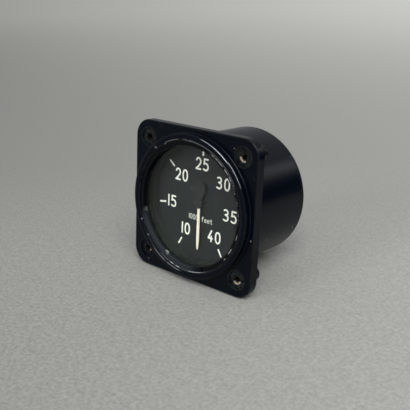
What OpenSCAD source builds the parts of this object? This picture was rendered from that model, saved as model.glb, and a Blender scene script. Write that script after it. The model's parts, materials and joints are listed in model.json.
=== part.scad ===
/* [Case] */
// Outside diameter of the round body behind the flange
body_d = 71.2; // [71.2:0.1:90]
// Depth from the front of the flange to the back of the rear cover
depth = 51.8; // [51.8:0.1:70]
// Thickness of the square flange
flange_t = 5; // [4.8:0.1:8]
// Radius of the flange corners
flange_corner_r = 9.4; // [5:0.1:10]
// Chamfer along the flange edges
flange_chamfer = 0.35; // [0.2:0.05:0.8]
// Distance from the raised bezel to the nearest flange edge
flange_margin = 2.7; // [1.6:0.1:4]
// Distance from a mounting hole to each flange edge beside it
hole_inset = 9.265; // [8.6:0.005:10]
// Height of the raised bezel in front of the flange
bezel_h = 4; // [3.6:0.1:5]
// Thickness of the bezel's lip in front of the retaining ring
lip_t = 1.1; // [1:0.1:1.4]
// Wall between the groove of the retaining ring and the outside of the bezel
bezel_wall = 2.9; // [2.4:0.1:4]
// Wall of the body around the dial
dial_wall = 2.4; // [1.8:0.1:3]
// Width of the shoulder that the dial rests on
dial_shoulder = 2; // [1.6:0.1:2.2]
// Width of the shelf that the glass rests on
glass_shelf = 1.2; // [1:0.1:2]
// Thickness of the rear cover
cover_t = 2; // [1.6:0.1:3]
// Rounding of the back edge of the rear cover
cover_round = 1.2; // [0.4:0.1:1.4]
// Thickness of the gasket under the rear cover
rear_gasket_t = 0.3; // [0.2:0.1:0.6]

/* [Mounting inserts] */
// Outside diameter of a threaded insert
insert_d = 5.2; // [4.8:0.1:6]
// Diameter of the thread core in an insert
insert_bore_d = 3.4; // [2:0.1:3.6]
// Diameter of the collar at the back of an insert
insert_collar_d = 8.4; // [6.4:0.1:9]
// Length of the collar
insert_collar_l = 2.3; // [1:0.1:4]
// Diameter of the boss behind each flange corner
corner_boss_d = 7.5; // [7:0.1:9]
// Length of the boss behind the flange
corner_boss_l = 7; // [3:0.5:10]
// Diameter of the round recess around an insert
recess_d = 10; // [8:0.1:11]
// Depth of the recess
recess_h = 0.8; // [0.6:0.1:2]

/* [Glass and dial] */
// Thickness of the retaining ring
ring_t = 2.36; // [1.6:0.02:3]
// Width of the retaining ring, measured along the radius
ring_w = 2.9; // [2:0.1:3.2]
// Gap between the ends of the retaining ring
ring_gap = 0.9; // [0.5:0.1:3]
// Thickness of the glass
glass_t = 1.9; // [1.4:0.1:2.4]
// Thickness of the glass gasket
gasket_t = 0.5; // [0.3:0.1:0.8]
// Depth of the inner dial ring
dial_ring_h = 7; // [4:0.05:8]
// Wall of the inner dial ring at the dial
dial_ring_w = 1.9; // [1.5:0.1:3]
// Thickness of the dial plate
dial_t = 0.9; // [0.6:0.1:1.4]
// Diameter of the hole in the dial
dial_hole_d = 4.4; // [3.6:0.1:6]

/* [Pointer] */
// Distance from the pointer to the dial
pointer_gap = 1.6; // [0.6:0.1:1.6]
// Thickness of the pointer
pointer_t = 0.4; // [0.3:0.1:0.8]
// Reach of the pointer from the staff to its tip
pointer_reach = 25.5; // [18:0.5:29]
// Greatest width of the pointer blade
blade_w = 1.75; // [1.4:0.05:4]
// Distance from the staff to the centre of the pointer counterweight
counter_reach = 7.9; // [6:0.1:12]
// Diameter of the pointer counterweight
counter_d = 8; // [5:0.1:10]
// Thickness of the plate that carries the counterweight
counter_t = 0.35; // [0.2:0.05:0.5]
// Width of the neck between the hub and the counterweight
counter_neck_w = 3.6; // [3:0.1:4.4]
// Diameter of the pointer hub
hub_d = 4.8; // [4.4:0.1:7]
// Angle that the pointer turns from its lower stop to its upper stop
pointer_travel = 330; // [270:5:340]

/* [Gearing] */
// Gear module
gear_module = 0.28; // [0.24:0.01:0.3]
// Teeth on the staff pinion
pinion_teeth = 14; // [12:1:15]
// Teeth that a full circle of the sector would have, for one tooth of the pinion
gear_ratio = 10; // [9:0.5:10.5]
// Play between the teeth, measured along the pitch circle
backlash = 0.08; // [0.04:0.01:0.12]
// Thickness of the toothed sector
sector_t = 1; // [0.8:0.1:1.6]
// Direction from the staff to the sector arbor, counterclockwise from the right
sector_side = 155.8; // [150:0.1:160]

/* [Movement] */
// Diameter of the movement plates
plate_d = 50; // [49.8:0.1:51]
// Thickness of the front and middle plates
plate_t = 1.2; // [1:0.1:1.6]
// Thickness of the base plate
base_t = 1.6; // [1.2:0.1:2.4]
// Distance from the dial to the front plate
front_plate_gap = 3.35; // [2.5:0.05:4]
// Distance between the front plate and the middle plate
plate_space = 11.8; // [11.6:0.1:12.4]
// Diameter of a pillar
pillar_d = 4; // [3:0.1:4.2]
// Diameter of the screws and studs of the movement
frame_screw_d = 2; // [1.6:0.1:2.2]
// Diameter of the hand staff
staff_d = 1.5; // [1.2:0.1:1.8]
// Diameter of the sector arbor
arbor_d = 1.8; // [1.4:0.1:2.2]
// Diameter of the end pivots of the staff, the arbor and the rocking shaft
pivot_d = 0.9; // [0.7:0.1:1.1]
// Outside diameter of a bearing bush
bush_d = 3.4; // [2.8:0.1:3.8]
// Radial play of a pivot in its bush
pivot_play = 0.03; // [0.02:0.01:0.08]

/* [Hairspring] */
// Outer radius of the hairspring
spring_r = 7; // [5.5:0.1:8]
// Number of turns of the hairspring
spring_turns = 6; // [4:1:7]
// Thickness of the hairspring strip
strip_t = 0.14; // [0.1:0.01:0.2]
// Width of the hairspring strip
strip_w = 0.6; // [0.4:0.1:0.8]

/* [Capsule drive] */
// Diameter of the aneroid capsules
capsule_d = 38; // [30:0.5:39]
// Thickness of one capsule at its rim
capsule_rim_t = 2; // [1.6:0.1:2.4]
// Thickness of one capsule at its centre
capsule_t = 4.4; // [4:0.1:4.8]
// Wall of a capsule
capsule_wall = 0.3; // [0.2:0.05:0.5]
// Angle that the rocking shaft turns over the full range
rocker_travel = 20; // [16:1:22]
// Distance from the sector arbor to the pin of its tail
tail_reach = 5; // [4.8:0.1:5.4]
// Diameter of the rocking shaft
rocker_d = 2; // [1.6:0.1:2.4]
// Distance from the middle plate to the rocking shaft
rocker_gap = 3.8; // [3.6:0.1:4.2]

/* [Rear] */
// Diameter of the cover screws
cover_screw_d = 2; // [1.6:0.1:2.4]
// Diameter of the lugs inside the case that take the cover screws
lug_d = 5.6; // [4.8:0.1:5.8]
// Length of the lugs
lug_l = 9; // [7:0.5:12]
// Diameter of the thread core in the static port
port_bore_d = 8.6; // [6:0.1:9.6]
// Width across the flats of the static port
port_flats = 14; // [12.6:0.2:16]
// Length of the static port behind the rear cover
port_l = 6.2; // [5:0.1:12]
// Distance from the case axis down to the static port
port_drop = 16; // [14:0.5:17]

/* [Hidden] */
$fn = 96;

// Small fits shared by the pieces
slip = 0.1;
thread_fit = 0.04;
screw_clearance = 0.15;
over = 1;

// Radii of the case, from the body outwards and inwards
body_r = body_d / 2;
dial_bore_r = body_r - dial_wall;
rear_bore_r = dial_bore_r - dial_shoulder;
glass_bore_r = dial_bore_r + glass_shelf;
groove_depth = 0.7;
groove_r = glass_bore_r + groove_depth;
bezel_r = groove_r + bezel_wall;
flange_w = 2 * (bezel_r + flange_margin);
bezel_foot = 0.3;
lip_bevel = 0.4;
crown_h = 0.6;
crown_steps = 6;
crown_half = (bezel_r - glass_bore_r - lip_bevel) / 2;
crown_r = bezel_r - crown_half;

// Places along the case axis, front to back
crown_base_y = crown_h - bezel_h;
ring_y = lip_t - bezel_h;
glass_y = ring_y + ring_t + 0.04;
gasket_y = glass_y + glass_t;
shelf_y = gasket_y + gasket_t;
dial_ring_y = gasket_y + 0.2;
dial_y = dial_ring_y + dial_ring_h;
dial_back = dial_y + dial_t;
pointer_y = dial_y - pointer_gap - pointer_t;
hub_sleeve_r = staff_d / 2 + 0.6;
front_plate_y = dial_back + front_plate_gap;
front_plate_back = front_plate_y + plate_t;
middle_plate_y = front_plate_back + plate_space;
middle_plate_back = middle_plate_y + plate_t;
cover_y = depth - cover_t;
case_back = cover_y - rear_gasket_t;
base_y = cover_y - base_t;

// Mounting inserts
hole_half = flange_w / 2 - hole_inset;
insert_y = recess_h;
corner_boss_back = flange_t + corner_boss_l;
insert_back = corner_boss_back + insert_collar_l;

// Movement frame
plate_r = plate_d / 2;
pillar_ring_r = plate_r - pillar_d / 2 - 0.5;
pillar_angles = [45, 150, 240, 335];
frame_screw_r = frame_screw_d / 2;
front_screw_l = 4;
pillar_stud_l = 4.5;
screw_head_r = 1.8;
screw_head_h = 1.1;
slot_w = 0.5;
slot_h = 0.5;

// Bearings
pivot_r = pivot_d / 2;
bush_r = bush_d / 2;
bush_stand = 0.4;

// Hairspring
collet_wall = 0.75;
spring_start_r = staff_d / 2 + collet_wall + strip_t / 2;
spring_y = front_plate_back + 2.2;
spring_steps = 30 * spring_turns;
spring_end = 60;

// Gear pair: the sector arbor lies beside the staff, and the teeth are in mesh at rest
sector_teeth = pinion_teeth * gear_ratio;
pinion_r = gear_module * pinion_teeth / 2;
sector_r = gear_module * sector_teeth / 2;
pressure_angle = 20;
tooth_shift = 0.2;
gear_centres = pinion_r + sector_r;
arbor_x = gear_centres * cos(sector_side);
arbor_z = gear_centres * sin(sector_side);
sector_travel = pointer_travel / gear_ratio;
mesh_angle = sector_side + 180;
sector_rest = mesh_angle - sector_travel / 2;
pinion_rest = sector_side + sector_travel / 2 * gear_ratio + 180 / pinion_teeth;
sector_half_teeth = ceil((sector_travel / 2 + 2) / (360 / sector_teeth)) + 1;
sector_rim = 2.2;
sector_spoke_w = 5;
sector_hub_r = 3;
sector_y = front_plate_back + 6.2;
pinion_l = sector_t + 1.2;

// Capsule drive: the rocking shaft lies level with the sector arbor
rocker_y = middle_plate_back + rocker_gap;
rocker_z = arbor_z;
rocker_r = rocker_d / 2;
rocker_half = rocker_travel / 2;
tail_y = sector_y + sector_t;
tail_t = 0.6;
tail_pin_r = 0.4;
tail_pin_l = 1.8;
tail_rest = -sector_travel / 2;
finger_reach = tail_reach * sin(sector_travel / 2) / sin(rocker_half);
finger_x = arbor_x + tail_reach;
finger_w = 2;
finger_t = 0.8;
finger_drop = tail_pin_r + 0.3;
finger_slot_clear = 0.8;
arm_w = 1.6;
arm_layer = 0.35;
arm_collar_r = rocker_r + 0.9;
arm_collar_half = 1.5;
arm_eye_r = 0.85;
arm_pin_r = 0.4;
arm_pin_half = 1.9;
arm_end_y = rocker_y + rocker_z * sin(rocker_half);
arm_end_z = rocker_z - rocker_z * cos(rocker_half);
bracket_t = 1.2;
bracket_left_x = finger_x - finger_w / 2 - 1.6;
bracket_right_x = 6.8;
bracket_reach = 2;
bracket_half_z = 2.2;
bracket_foot_z = 4.8;
bracket_foot_x = 4.4;
bracket_screw_r = 0.8;
bracket_screw_in = bracket_foot_x - 1.9;
bracket_screw_z = rocker_z + bracket_foot_z;
bracket_screw_x = [bracket_left_x + bracket_screw_in, bracket_right_x + bracket_t - bracket_screw_in];
balance_x = -6;
balance_rod_l = 7;

// Link and capsules, from the arm pin to the base plate
fork_gap = 1;
fork_t = 0.6;
fork_ahead = 1.1;
fork_base_y = arm_end_y + 2;
boss_r = 3;
boss_l = 1;
capsule_y = fork_base_y + boss_l;
capsule_joint_l = 0.6;
rear_capsule_y = capsule_y + capsule_t + capsule_joint_l;
capsule_back = rear_capsule_y + capsule_t;
stud_r = 2;
stud_nut_flats = 6;
stud_nut_h = 1.4;
stud_spacer_r = 3.4;

// Rear
lug_r = lug_d / 2;
lug_ring_r = rear_bore_r + 0.4 - lug_r;
lug_angles = [45, 135, 225, 315];
cover_screw_r = cover_screw_d / 2;
cover_screw_l = lug_l - 1.5;
movement_screw_l = 5;
countersink_r = 1.9;
port_spigot_r = port_bore_d / 2 + 1.1;
port_spigot_l = cover_t + 1.3;
port_bore_l = 7;
port_vent_r = 1.2;
port_washer_t = 0.8;
port_washer_r = port_flats / 2 - 0.1;

// Solid of revolution about the case axis, from points given as radius and depth
module turned(profile) {
    rotate([-90, 0, 0]) rotate_extrude() polygon(profile);
}

// Flat piece from an outline in the front view, with its front face at the given depth
module slab(y, t) {
    translate([0, y + t, 0]) rotate([90, 0, 0]) linear_extrude(t) children();
}

// Round rod along the case axis
module rod(r, y0, y1, x = 0, z = 0) {
    translate([x, y0, z]) rotate([-90, 0, 0]) cylinder(h = y1 - y0, r = r);
}

// Round rod across the case
module cross_rod(r, x0, x1, y, z) {
    translate([x0, y, z]) rotate([0, 90, 0]) cylinder(h = x1 - x0, r = r);
}

// Child shapes at each angle on a circle, angles clockwise from the top in the front view
module around(radius, angles) {
    for (a = angles) translate([radius * sin(a), 0, radius * cos(a)]) children();
}

// Child shapes turned about the rocking shaft to the rest position, drawn with the arm hanging down
module rocked() {
    translate([0, rocker_y, rocker_z]) rotate([rocker_half, 0, 0]) children();
}

// Square outline with round corners
module rounded_square(w, r) {
    square([w - 2 * r, w], center = true);
    square([w, w - 2 * r], center = true);
    for (x = [-1, 1], y = [-1, 1]) translate([x * (w / 2 - r), y * (w / 2 - r)]) circle(r);
}

// Layer of a rounded square that widens by its own height
module chamfer_layer(w, r, c) {
    for (x = [-1, 1], y = [-1, 1]) {
        translate([x * (w / 2 - r), y * (w / 2 - r), 0]) cylinder(h = c, r1 = r - c, r2 = r);
    }
    section = [[c - w / 2, 0], [w / 2 - c, 0], [w / 2, c], [-w / 2, c]];
    for (turn = [0, 90]) {
        rotate([0, 0, turn]) translate([r - w / 2, 0, 0]) rotate([90, 0, 90])
            linear_extrude(w - 2 * r) polygon(section);
    }
}

// Square flange with its edges chamfered front and back
module flange_plate(w, r, t, c) {
    rotate([-90, 0, 0]) {
        chamfer_layer(w, r, c);
        translate([0, 0, c]) linear_extrude(t - 2 * c) rounded_square(w, r);
        translate([0, 0, t]) mirror([0, 0, 1]) chamfer_layer(w, r, c);
    }
}

// Screw with a slotted head behind a face at depth y and a shank running forwards
module rear_screw(shank_r, shank_l, head_r, head_h, y) {
    difference() {
        union() {
            rod(shank_r, y - shank_l, y + head_h / 2);
            rod(head_r, y, y + head_h);
        }
        translate([-head_r - over, y + head_h - slot_h, -slot_w / 2])
            cube([2 * (head_r + over), slot_h + over, slot_w]);
    }
}

// Polar angle that an involute has turned through at a radius
function involute_angle(r, base_r) =
    r <= base_r ? 0 : let (roll = sqrt(pow(r / base_r, 2) - 1)) roll * 180 / PI - atan(roll);

// Half the angle that a tooth fills at a radius
function tooth_half_angle(r, pitch_r, base_r, half_at_pitch) =
    half_at_pitch + involute_angle(pitch_r, base_r) - involute_angle(r, base_r);

// Outline points of one gear tooth from its right foot over the tip to its left foot
function tooth_points(centre, teeth, shift, steps = 6) =
    let (
        pitch_r = gear_module * teeth / 2,
        base_r = pitch_r * cos(pressure_angle),
        root_r = pitch_r - gear_module * (1.25 - shift),
        tip_r = pitch_r + gear_module * (1 + shift),
        thickness = gear_module * (PI / 2 + 2 * shift * tan(pressure_angle)) - backlash / 2,
        half_at_pitch = thickness / 2 / pitch_r * 180 / PI,
        radii = [for (i = [0 : steps]) root_r + (tip_r - root_r) * i / steps],
        halves = [for (r = radii) tooth_half_angle(r, pitch_r, base_r, half_at_pitch)]
    )
    concat(
        [for (i = [0 : steps]) radii[i] * [cos(centre - halves[i]), sin(centre - halves[i])]],
        [for (i = [steps : -1 : 0]) radii[i] * [cos(centre + halves[i]), sin(centre + halves[i])]]
    );

// Distance from the centre of the hairspring after a share of its length
function spring_radius(share) = spring_start_r + (spring_r - spring_start_r) * share;

// Section of the bezel's crown, from its inner foot over the crest to its outer foot
function crown_points() = [
    for (i = [0 : 2 * crown_steps]) let (turn = 90 * i / crown_steps)
        [crown_r - crown_half * cos(turn), crown_base_y - crown_h * sin(turn)]
];

module case() {
    color("#1b1e22")
    difference() {
        union() {
            difference() {
                union() {
                    flange_plate(flange_w, flange_corner_r, flange_t, flange_chamfer);
                    turned([
                        each crown_points(),
                        [bezel_r, -bezel_foot],
                        [bezel_r + bezel_foot, 0],
                        [bezel_r + bezel_foot, flange_t / 2],
                        [body_r, flange_t / 2],
                        [body_r, case_back],
                        [0, case_back],
                        [0, crown_base_y]
                    ]);
                }
                turned([
                    [0, crown_base_y - over],
                    [glass_bore_r, crown_base_y - over],
                    [glass_bore_r, ring_y],
                    [groove_r, ring_y],
                    [groove_r, glass_y],
                    [glass_bore_r, glass_y],
                    [glass_bore_r, shelf_y],
                    [dial_bore_r, shelf_y],
                    [dial_bore_r, dial_back],
                    [rear_bore_r, dial_back],
                    [rear_bore_r, case_back + over],
                    [0, case_back + over]
                ]);
            }
            around(lug_ring_r, lug_angles) rod(lug_r, case_back - lug_l, case_back);
            for (x = [-hole_half, hole_half], z = [-hole_half, hole_half])
                rod(corner_boss_d / 2, flange_t / 2, corner_boss_back, x, z);
        }
        around(lug_ring_r, lug_angles)
            rod(cover_screw_r + thread_fit, case_back - cover_screw_l, case_back + over);
        for (x = [-hole_half, hole_half], z = [-hole_half, hole_half]) {
            rod(recess_d / 2, -over, recess_h, x, z);
            rod(insert_d / 2, 0, corner_boss_back + over, x, z);
        }
    }
}

module threaded_inserts() {
    color("#b08a4a")
    for (x = [-hole_half, hole_half], z = [-hole_half, hole_half]) {
        difference() {
            union() {
                rod(insert_d / 2, insert_y, insert_back, x, z);
                rod(insert_collar_d / 2, corner_boss_back, insert_back, x, z);
            }
            rod(insert_bore_d / 2, insert_y - over, insert_back + over, x, z);
        }
    }
}

module retaining_ring() {
    gap_angle = 160;
    ring_out = groove_r - 2 * slip;
    color("#2a2c2e")
    difference() {
        turned([
            [ring_out - ring_w, ring_y + 0.02 + 0.25],
            [ring_out - ring_w + 0.25, ring_y + 0.02],
            [ring_out, ring_y + 0.02],
            [ring_out, ring_y + ring_t],
            [ring_out - ring_w, ring_y + ring_t]
        ]);
        rotate([0, gap_angle, 0])
            translate([-ring_gap / 2, ring_y - over, 0])
            cube([ring_gap, ring_t + 2 * over, groove_r + over]);
    }
}

module glass() {
    edge = 0.2;
    glass_r = glass_bore_r - 2 * slip;
    color("lightcyan", 0.3)
    turned([
        [0, glass_y],
        [glass_r - edge, glass_y],
        [glass_r, glass_y + edge],
        [glass_r, gasket_y - edge],
        [glass_r - edge, gasket_y],
        [0, gasket_y]
    ]);
}

module glass_gasket() {
    color("#202020")
    turned([
        [dial_bore_r + slip, gasket_y],
        [glass_bore_r - slip, gasket_y],
        [glass_bore_r - slip, shelf_y],
        [dial_bore_r + slip, shelf_y]
    ]);
}

module dial_ring() {
    out_r = dial_bore_r - slip;
    in_r = out_r - dial_ring_w;
    step = 0.3;
    rise = dial_ring_h / 4;
    color("#3d433f")
    turned([
        [in_r + 2.6 * step, dial_ring_y],
        [out_r, dial_ring_y],
        [out_r, dial_y],
        [in_r, dial_y],
        [in_r + 0.3 * step, dial_y - rise],
        [in_r + step, dial_y - rise],
        [in_r + 1.3 * step, dial_y - 2 * rise],
        [in_r + 2 * step, dial_y - 2 * rise],
        [in_r + 2.3 * step, dial_y - 3 * rise]
    ]);
}

module dial_plate() {
    color("#343a38")
    difference() {
        rod(dial_bore_r - slip, dial_y, dial_back);
        rod(dial_hole_d / 2, dial_y - over, dial_back + over);
    }
}

// The pointer hangs straight down at its lower stop
module pointer() {
    point_l = 5;
    waist_w = blade_w * 0.85;
    color("#f2eedc")
    difference() {
        union() {
            slab(pointer_y, pointer_t) polygon([
                [-waist_w / 2, 0],
                [-blade_w / 2, point_l - pointer_reach],
                [-blade_w * 0.3, 0.9 - pointer_reach],
                [0, -pointer_reach],
                [blade_w * 0.3, 0.9 - pointer_reach],
                [blade_w / 2, point_l - pointer_reach],
                [waist_w / 2, 0]
            ]);
            rod(hub_d / 2 - 0.1, pointer_y, pointer_y + pointer_t);
        }
        rod(hub_sleeve_r + thread_fit, pointer_y - over, pointer_y + pointer_t + over);
    }
}

// Disc above the hub that balances the blade, on a neck behind the pointer
module pointer_counterweight() {
    plate_y = pointer_y + pointer_t;
    color("#202325")
    difference() {
        union() {
            slab(plate_y, counter_t) translate([-counter_neck_w / 2, 0])
                square([counter_neck_w, counter_reach]);
            rod(counter_d / 2, pointer_y, plate_y + counter_t, 0, counter_reach);
            rod(hub_d / 2 - 0.1, plate_y, plate_y + counter_t);
        }
        rod(hub_sleeve_r + thread_fit, pointer_y - over, dial_y);
    }
}

module pointer_hub() {
    cap_h = 0.8;
    color("#202020")
    difference() {
        turned([
            [0, pointer_y - cap_h],
            [hub_d / 2 - 0.4, pointer_y - cap_h],
            [hub_d / 2, pointer_y - cap_h + 0.4],
            [hub_d / 2, pointer_y],
            [hub_sleeve_r, pointer_y],
            [hub_sleeve_r, dial_y + dial_t / 2],
            [0, dial_y + dial_t / 2]
        ]);
        rod(staff_d / 2 + thread_fit, pointer_y - 0.4, dial_back);
    }
}

module hand_staff() {
    shoulder_y = middle_plate_y - bush_stand - 0.1;
    color("#9aa0a6")
    union() {
        rod(staff_d / 2, pointer_y - 0.3, shoulder_y);
        rod(pivot_r, shoulder_y - over, middle_plate_back + 0.2);
    }
}

module staff_pinion() {
    points = [
        for (k = [0 : pinion_teeth - 1])
            each tooth_points(pinion_rest + k * 360 / pinion_teeth, pinion_teeth, tooth_shift)
    ];
    mid = sector_y + sector_t / 2;
    color("#b9a36a")
    slab(mid - pinion_l / 2, pinion_l) difference() {
        polygon(points);
        circle(staff_d / 2);
    }
}

module hairspring() {
    ring = [
        for (side = [-1, 1])
            [for (i = [0 : spring_steps])
                let (
                    j = side < 0 ? i : spring_steps - i,
                    a = spring_end + spring_turns * 360 * (j / spring_steps - 1),
                    r = spring_radius(j / spring_steps) + side * strip_t / 2
                )
                r * [cos(a), sin(a)]]
    ];
    color("#7b8fa6")
    slab(spring_y, strip_w) polygon(concat(ring[0], ring[1]));
}

module hairspring_collet() {
    color("#b9a36a")
    difference() {
        rod(staff_d / 2 + collet_wall, spring_y - 0.3, spring_y + strip_w + 0.3);
        rod(staff_d / 2, spring_y - over, spring_y + strip_w + over);
    }
}

module hairspring_stud() {
    stud_post_r = 0.6;
    place_r = spring_r + strip_t / 2 + 0.05 + stud_post_r;
    color("#9aa0a6")
    rod(stud_post_r, front_plate_back, spring_y + strip_w + 0.3,
        place_r * cos(spring_end), place_r * sin(spring_end));
}

module front_plate() {
    color("#b9a36a")
    difference() {
        rod(plate_r, front_plate_y, front_plate_back);
        rod(bush_r, front_plate_y - over, front_plate_back + over);
        rod(bush_r, front_plate_y - over, front_plate_back + over, arbor_x, arbor_z);
        around(pillar_ring_r, pillar_angles)
            rod(frame_screw_r + screw_clearance, front_plate_y - over, front_plate_back + over);
    }
}

module middle_plate() {
    slot_x = finger_w + 2 * finger_slot_clear;
    slot_z = 2 * (finger_reach * sin(rocker_half) + finger_t + 2 * finger_slot_clear);
    color("#b9a36a")
    difference() {
        rod(plate_r, middle_plate_y, middle_plate_back);
        rod(bush_r, middle_plate_y - over, middle_plate_back + over);
        rod(bush_r, middle_plate_y - over, middle_plate_back + over, arbor_x, arbor_z);
        around(pillar_ring_r, pillar_angles)
            rod(frame_screw_r + screw_clearance, middle_plate_y - over, middle_plate_back + over);
        translate([finger_x - slot_x / 2, middle_plate_y - over, rocker_z - slot_z / 2])
            cube([slot_x, plate_t + 2 * over, slot_z]);
        for (x = bracket_screw_x) {
            rod(bracket_screw_r + thread_fit, middle_plate_y - over, middle_plate_back + over,
                x, bracket_screw_z);
        }
    }
}

module base_plate() {
    color("#b9a36a")
    difference() {
        rod(plate_r, base_y, cover_y);
        rod(stud_r + thread_fit, base_y - over, cover_y + over);
        rod(port_spigot_r + 0.6, base_y - over, cover_y + over, 0, -port_drop);
        around(pillar_ring_r, pillar_angles)
            rod(frame_screw_r + screw_clearance, base_y - over, cover_y + over);
    }
}

module front_pillars() {
    color("#c8b078")
    around(pillar_ring_r, pillar_angles) difference() {
        rod(pillar_d / 2, front_plate_back, middle_plate_y);
        rod(frame_screw_r + thread_fit, front_plate_back - over,
            front_plate_back + front_screw_l + 0.3);
        rod(frame_screw_r + thread_fit, middle_plate_y - pillar_stud_l, middle_plate_y + over);
    }
}

module rear_pillars() {
    color("#c8b078")
    around(pillar_ring_r, pillar_angles) difference() {
        union() {
            rod(pillar_d / 2, middle_plate_back, base_y);
            rod(frame_screw_r, middle_plate_back - pillar_stud_l, middle_plate_back + over);
        }
        rod(frame_screw_r + thread_fit, base_y - movement_screw_l, base_y + over);
    }
}

module front_plate_screws() {
    color("#9aa0a6")
    around(pillar_ring_r, pillar_angles) mirror([0, 1, 0])
        rear_screw(frame_screw_r, plate_t + front_screw_l, screw_head_r, screw_head_h,
            -front_plate_y);
}

// Flanged bush that stands out on both sides of a plate
module bush(plate_y, bore_r, x, z) {
    difference() {
        rod(bush_r - 0.01, plate_y - bush_stand, plate_y + plate_t + bush_stand, x, z);
        rod(bore_r, plate_y - over, plate_y + plate_t + over, x, z);
    }
}

module staff_bushes() {
    color("#c9a24e") {
        bush(front_plate_y, staff_d / 2 + pivot_play, 0, 0);
        bush(middle_plate_y, pivot_r + pivot_play, 0, 0);
    }
}

module sector_bushes() {
    color("#c9a24e") {
        bush(front_plate_y, pivot_r + pivot_play, arbor_x, arbor_z);
        bush(middle_plate_y, pivot_r + pivot_play, arbor_x, arbor_z);
    }
}

module toothed_sector() {
    root_r = sector_r - gear_module * (1.25 + tooth_shift);
    rim_in = root_r - sector_rim;
    pitch = 360 / sector_teeth;
    rim_half = (sector_half_teeth + 0.5) * pitch;
    teeth = [
        for (k = [-sector_half_teeth : sector_half_teeth])
            each tooth_points(k * pitch, sector_teeth, -tooth_shift)
    ];
    rim = [for (i = [10 : -1 : -10]) rim_in * [cos(i * rim_half / 10), sin(i * rim_half / 10)]];
    color("#b9a36a")
    translate([arbor_x, 0, arbor_z]) difference() {
        slab(sector_y, sector_t) rotate(sector_rest) union() {
            polygon(concat(teeth, rim));
            translate([0, -sector_spoke_w / 2]) square([root_r - 0.8, sector_spoke_w]);
            circle(sector_hub_r);
        }
        rod(arbor_d / 2, sector_y - over, sector_y + sector_t + over);
    }
}

module sector_arbor() {
    front_shoulder = front_plate_back + bush_stand + 0.1;
    rear_shoulder = middle_plate_y - bush_stand - 0.1;
    color("#9aa0a6")
    union() {
        rod(arbor_d / 2, front_shoulder, rear_shoulder, arbor_x, arbor_z);
        rod(pivot_r, front_plate_y - 0.2, middle_plate_back + 0.2, arbor_x, arbor_z);
    }
}

// Lever behind the sector, pushed up at its pin by the drive finger
module sector_tail() {
    tail_w = 1.8;
    color("#c8b078")
    translate([arbor_x, 0, arbor_z]) difference() {
        union() {
            slab(tail_y, tail_t) rotate(tail_rest) union() {
                translate([0, -tail_w / 2]) square([tail_reach, tail_w]);
                circle(arbor_d / 2 + 1.1);
            }
            rod(tail_w / 2, tail_y, tail_y + tail_t, tail_reach * cos(tail_rest),
                tail_reach * sin(tail_rest));
            rod(tail_pin_r, tail_y + tail_t / 2, tail_y + tail_t + tail_pin_l,
                tail_reach * cos(tail_rest), tail_reach * sin(tail_rest));
        }
        rod(arbor_d / 2, tail_y - over, tail_y + tail_t + over);
    }
}

// Pins on the front plate that stop the sector at each end of its travel
module banking_pins() {
    pin_r = 0.6;
    reach = 10;
    swing = sector_travel / 2 + asin((sector_spoke_w / 2 + pin_r + 0.15) / reach);
    color("#9aa0a6")
    for (a = [mesh_angle - swing, mesh_angle + swing]) {
        rod(pin_r, front_plate_back, sector_y + sector_t + 0.3,
            arbor_x + reach * cos(a), arbor_z + reach * sin(a));
    }
}

module rocking_shaft() {
    left_shoulder = bracket_left_x + bracket_t + 0.1;
    right_shoulder = bracket_right_x - 0.1;
    color("#9aa0a6")
    union() {
        cross_rod(rocker_r, left_shoulder, right_shoulder, rocker_y, rocker_z);
        cross_rod(pivot_r, bracket_left_x, bracket_right_x + bracket_t, rocker_y, rocker_z);
    }
}

// Upright with a foot on the middle plate; the foot runs right from the upright, or left if flipped
module rocker_bracket(x, foot_left) {
    foot_x = foot_left ? x + bracket_t - bracket_foot_x : x;
    foot_z = rocker_z + bracket_half_z;
    screw_x = foot_left ? bracket_screw_x[1] : bracket_screw_x[0];
    difference() {
        union() {
            translate([x, middle_plate_back, rocker_z - bracket_half_z])
                cube([bracket_t, rocker_gap + bracket_reach, 2 * bracket_half_z]);
            translate([foot_x, middle_plate_back, foot_z - 0.5])
                cube([bracket_foot_x, bracket_t, bracket_foot_z]);
            translate([x, middle_plate_back, rocker_z - bracket_half_z])
                cube([bracket_t, bracket_t, bracket_foot_z + bracket_half_z]);
        }
        cross_rod(pivot_r + pivot_play, x - over, x + bracket_t + over, rocker_y, rocker_z);
        rod(bracket_screw_r + thread_fit, middle_plate_back - over,
            middle_plate_back + bracket_t + over, screw_x, bracket_screw_z);
    }
}

module rocker_brackets() {
    color("#c8b078") {
        rocker_bracket(bracket_left_x, false);
        rocker_bracket(bracket_right_x, true);
    }
}

module bracket_screws() {
    color("#9aa0a6")
    for (x = bracket_screw_x) {
        translate([x, 0, bracket_screw_z])
            rear_screw(bracket_screw_r, bracket_t + plate_t, 1.4, 0.9, middle_plate_back + bracket_t);
    }
}

// Collar and finger on the rocking shaft that push the pin of the sector tail
module drive_finger() {
    collar_r = rocker_r + 0.8;
    color("#c8b078")
    rocked() difference() {
        union() {
            cross_rod(collar_r, finger_x - finger_w / 2 - 0.3, finger_x + finger_w / 2 + 0.3, 0, 0);
            translate([finger_x - finger_w / 2, -finger_reach - 0.3, -finger_drop - finger_t])
                cube([finger_w, finger_reach + 0.3, finger_t]);
        }
        cross_rod(rocker_r, finger_x - finger_w - over, finger_x + finger_w + over, 0, 0);
    }
}

module arm_collar() {
    color("#9aa0a6")
    rocked() difference() {
        cross_rod(arm_collar_r, -arm_collar_half, arm_collar_half, 0, 0);
        cross_rod(rocker_r, -arm_collar_half - over, arm_collar_half + over, 0, 0);
    }
}

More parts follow.
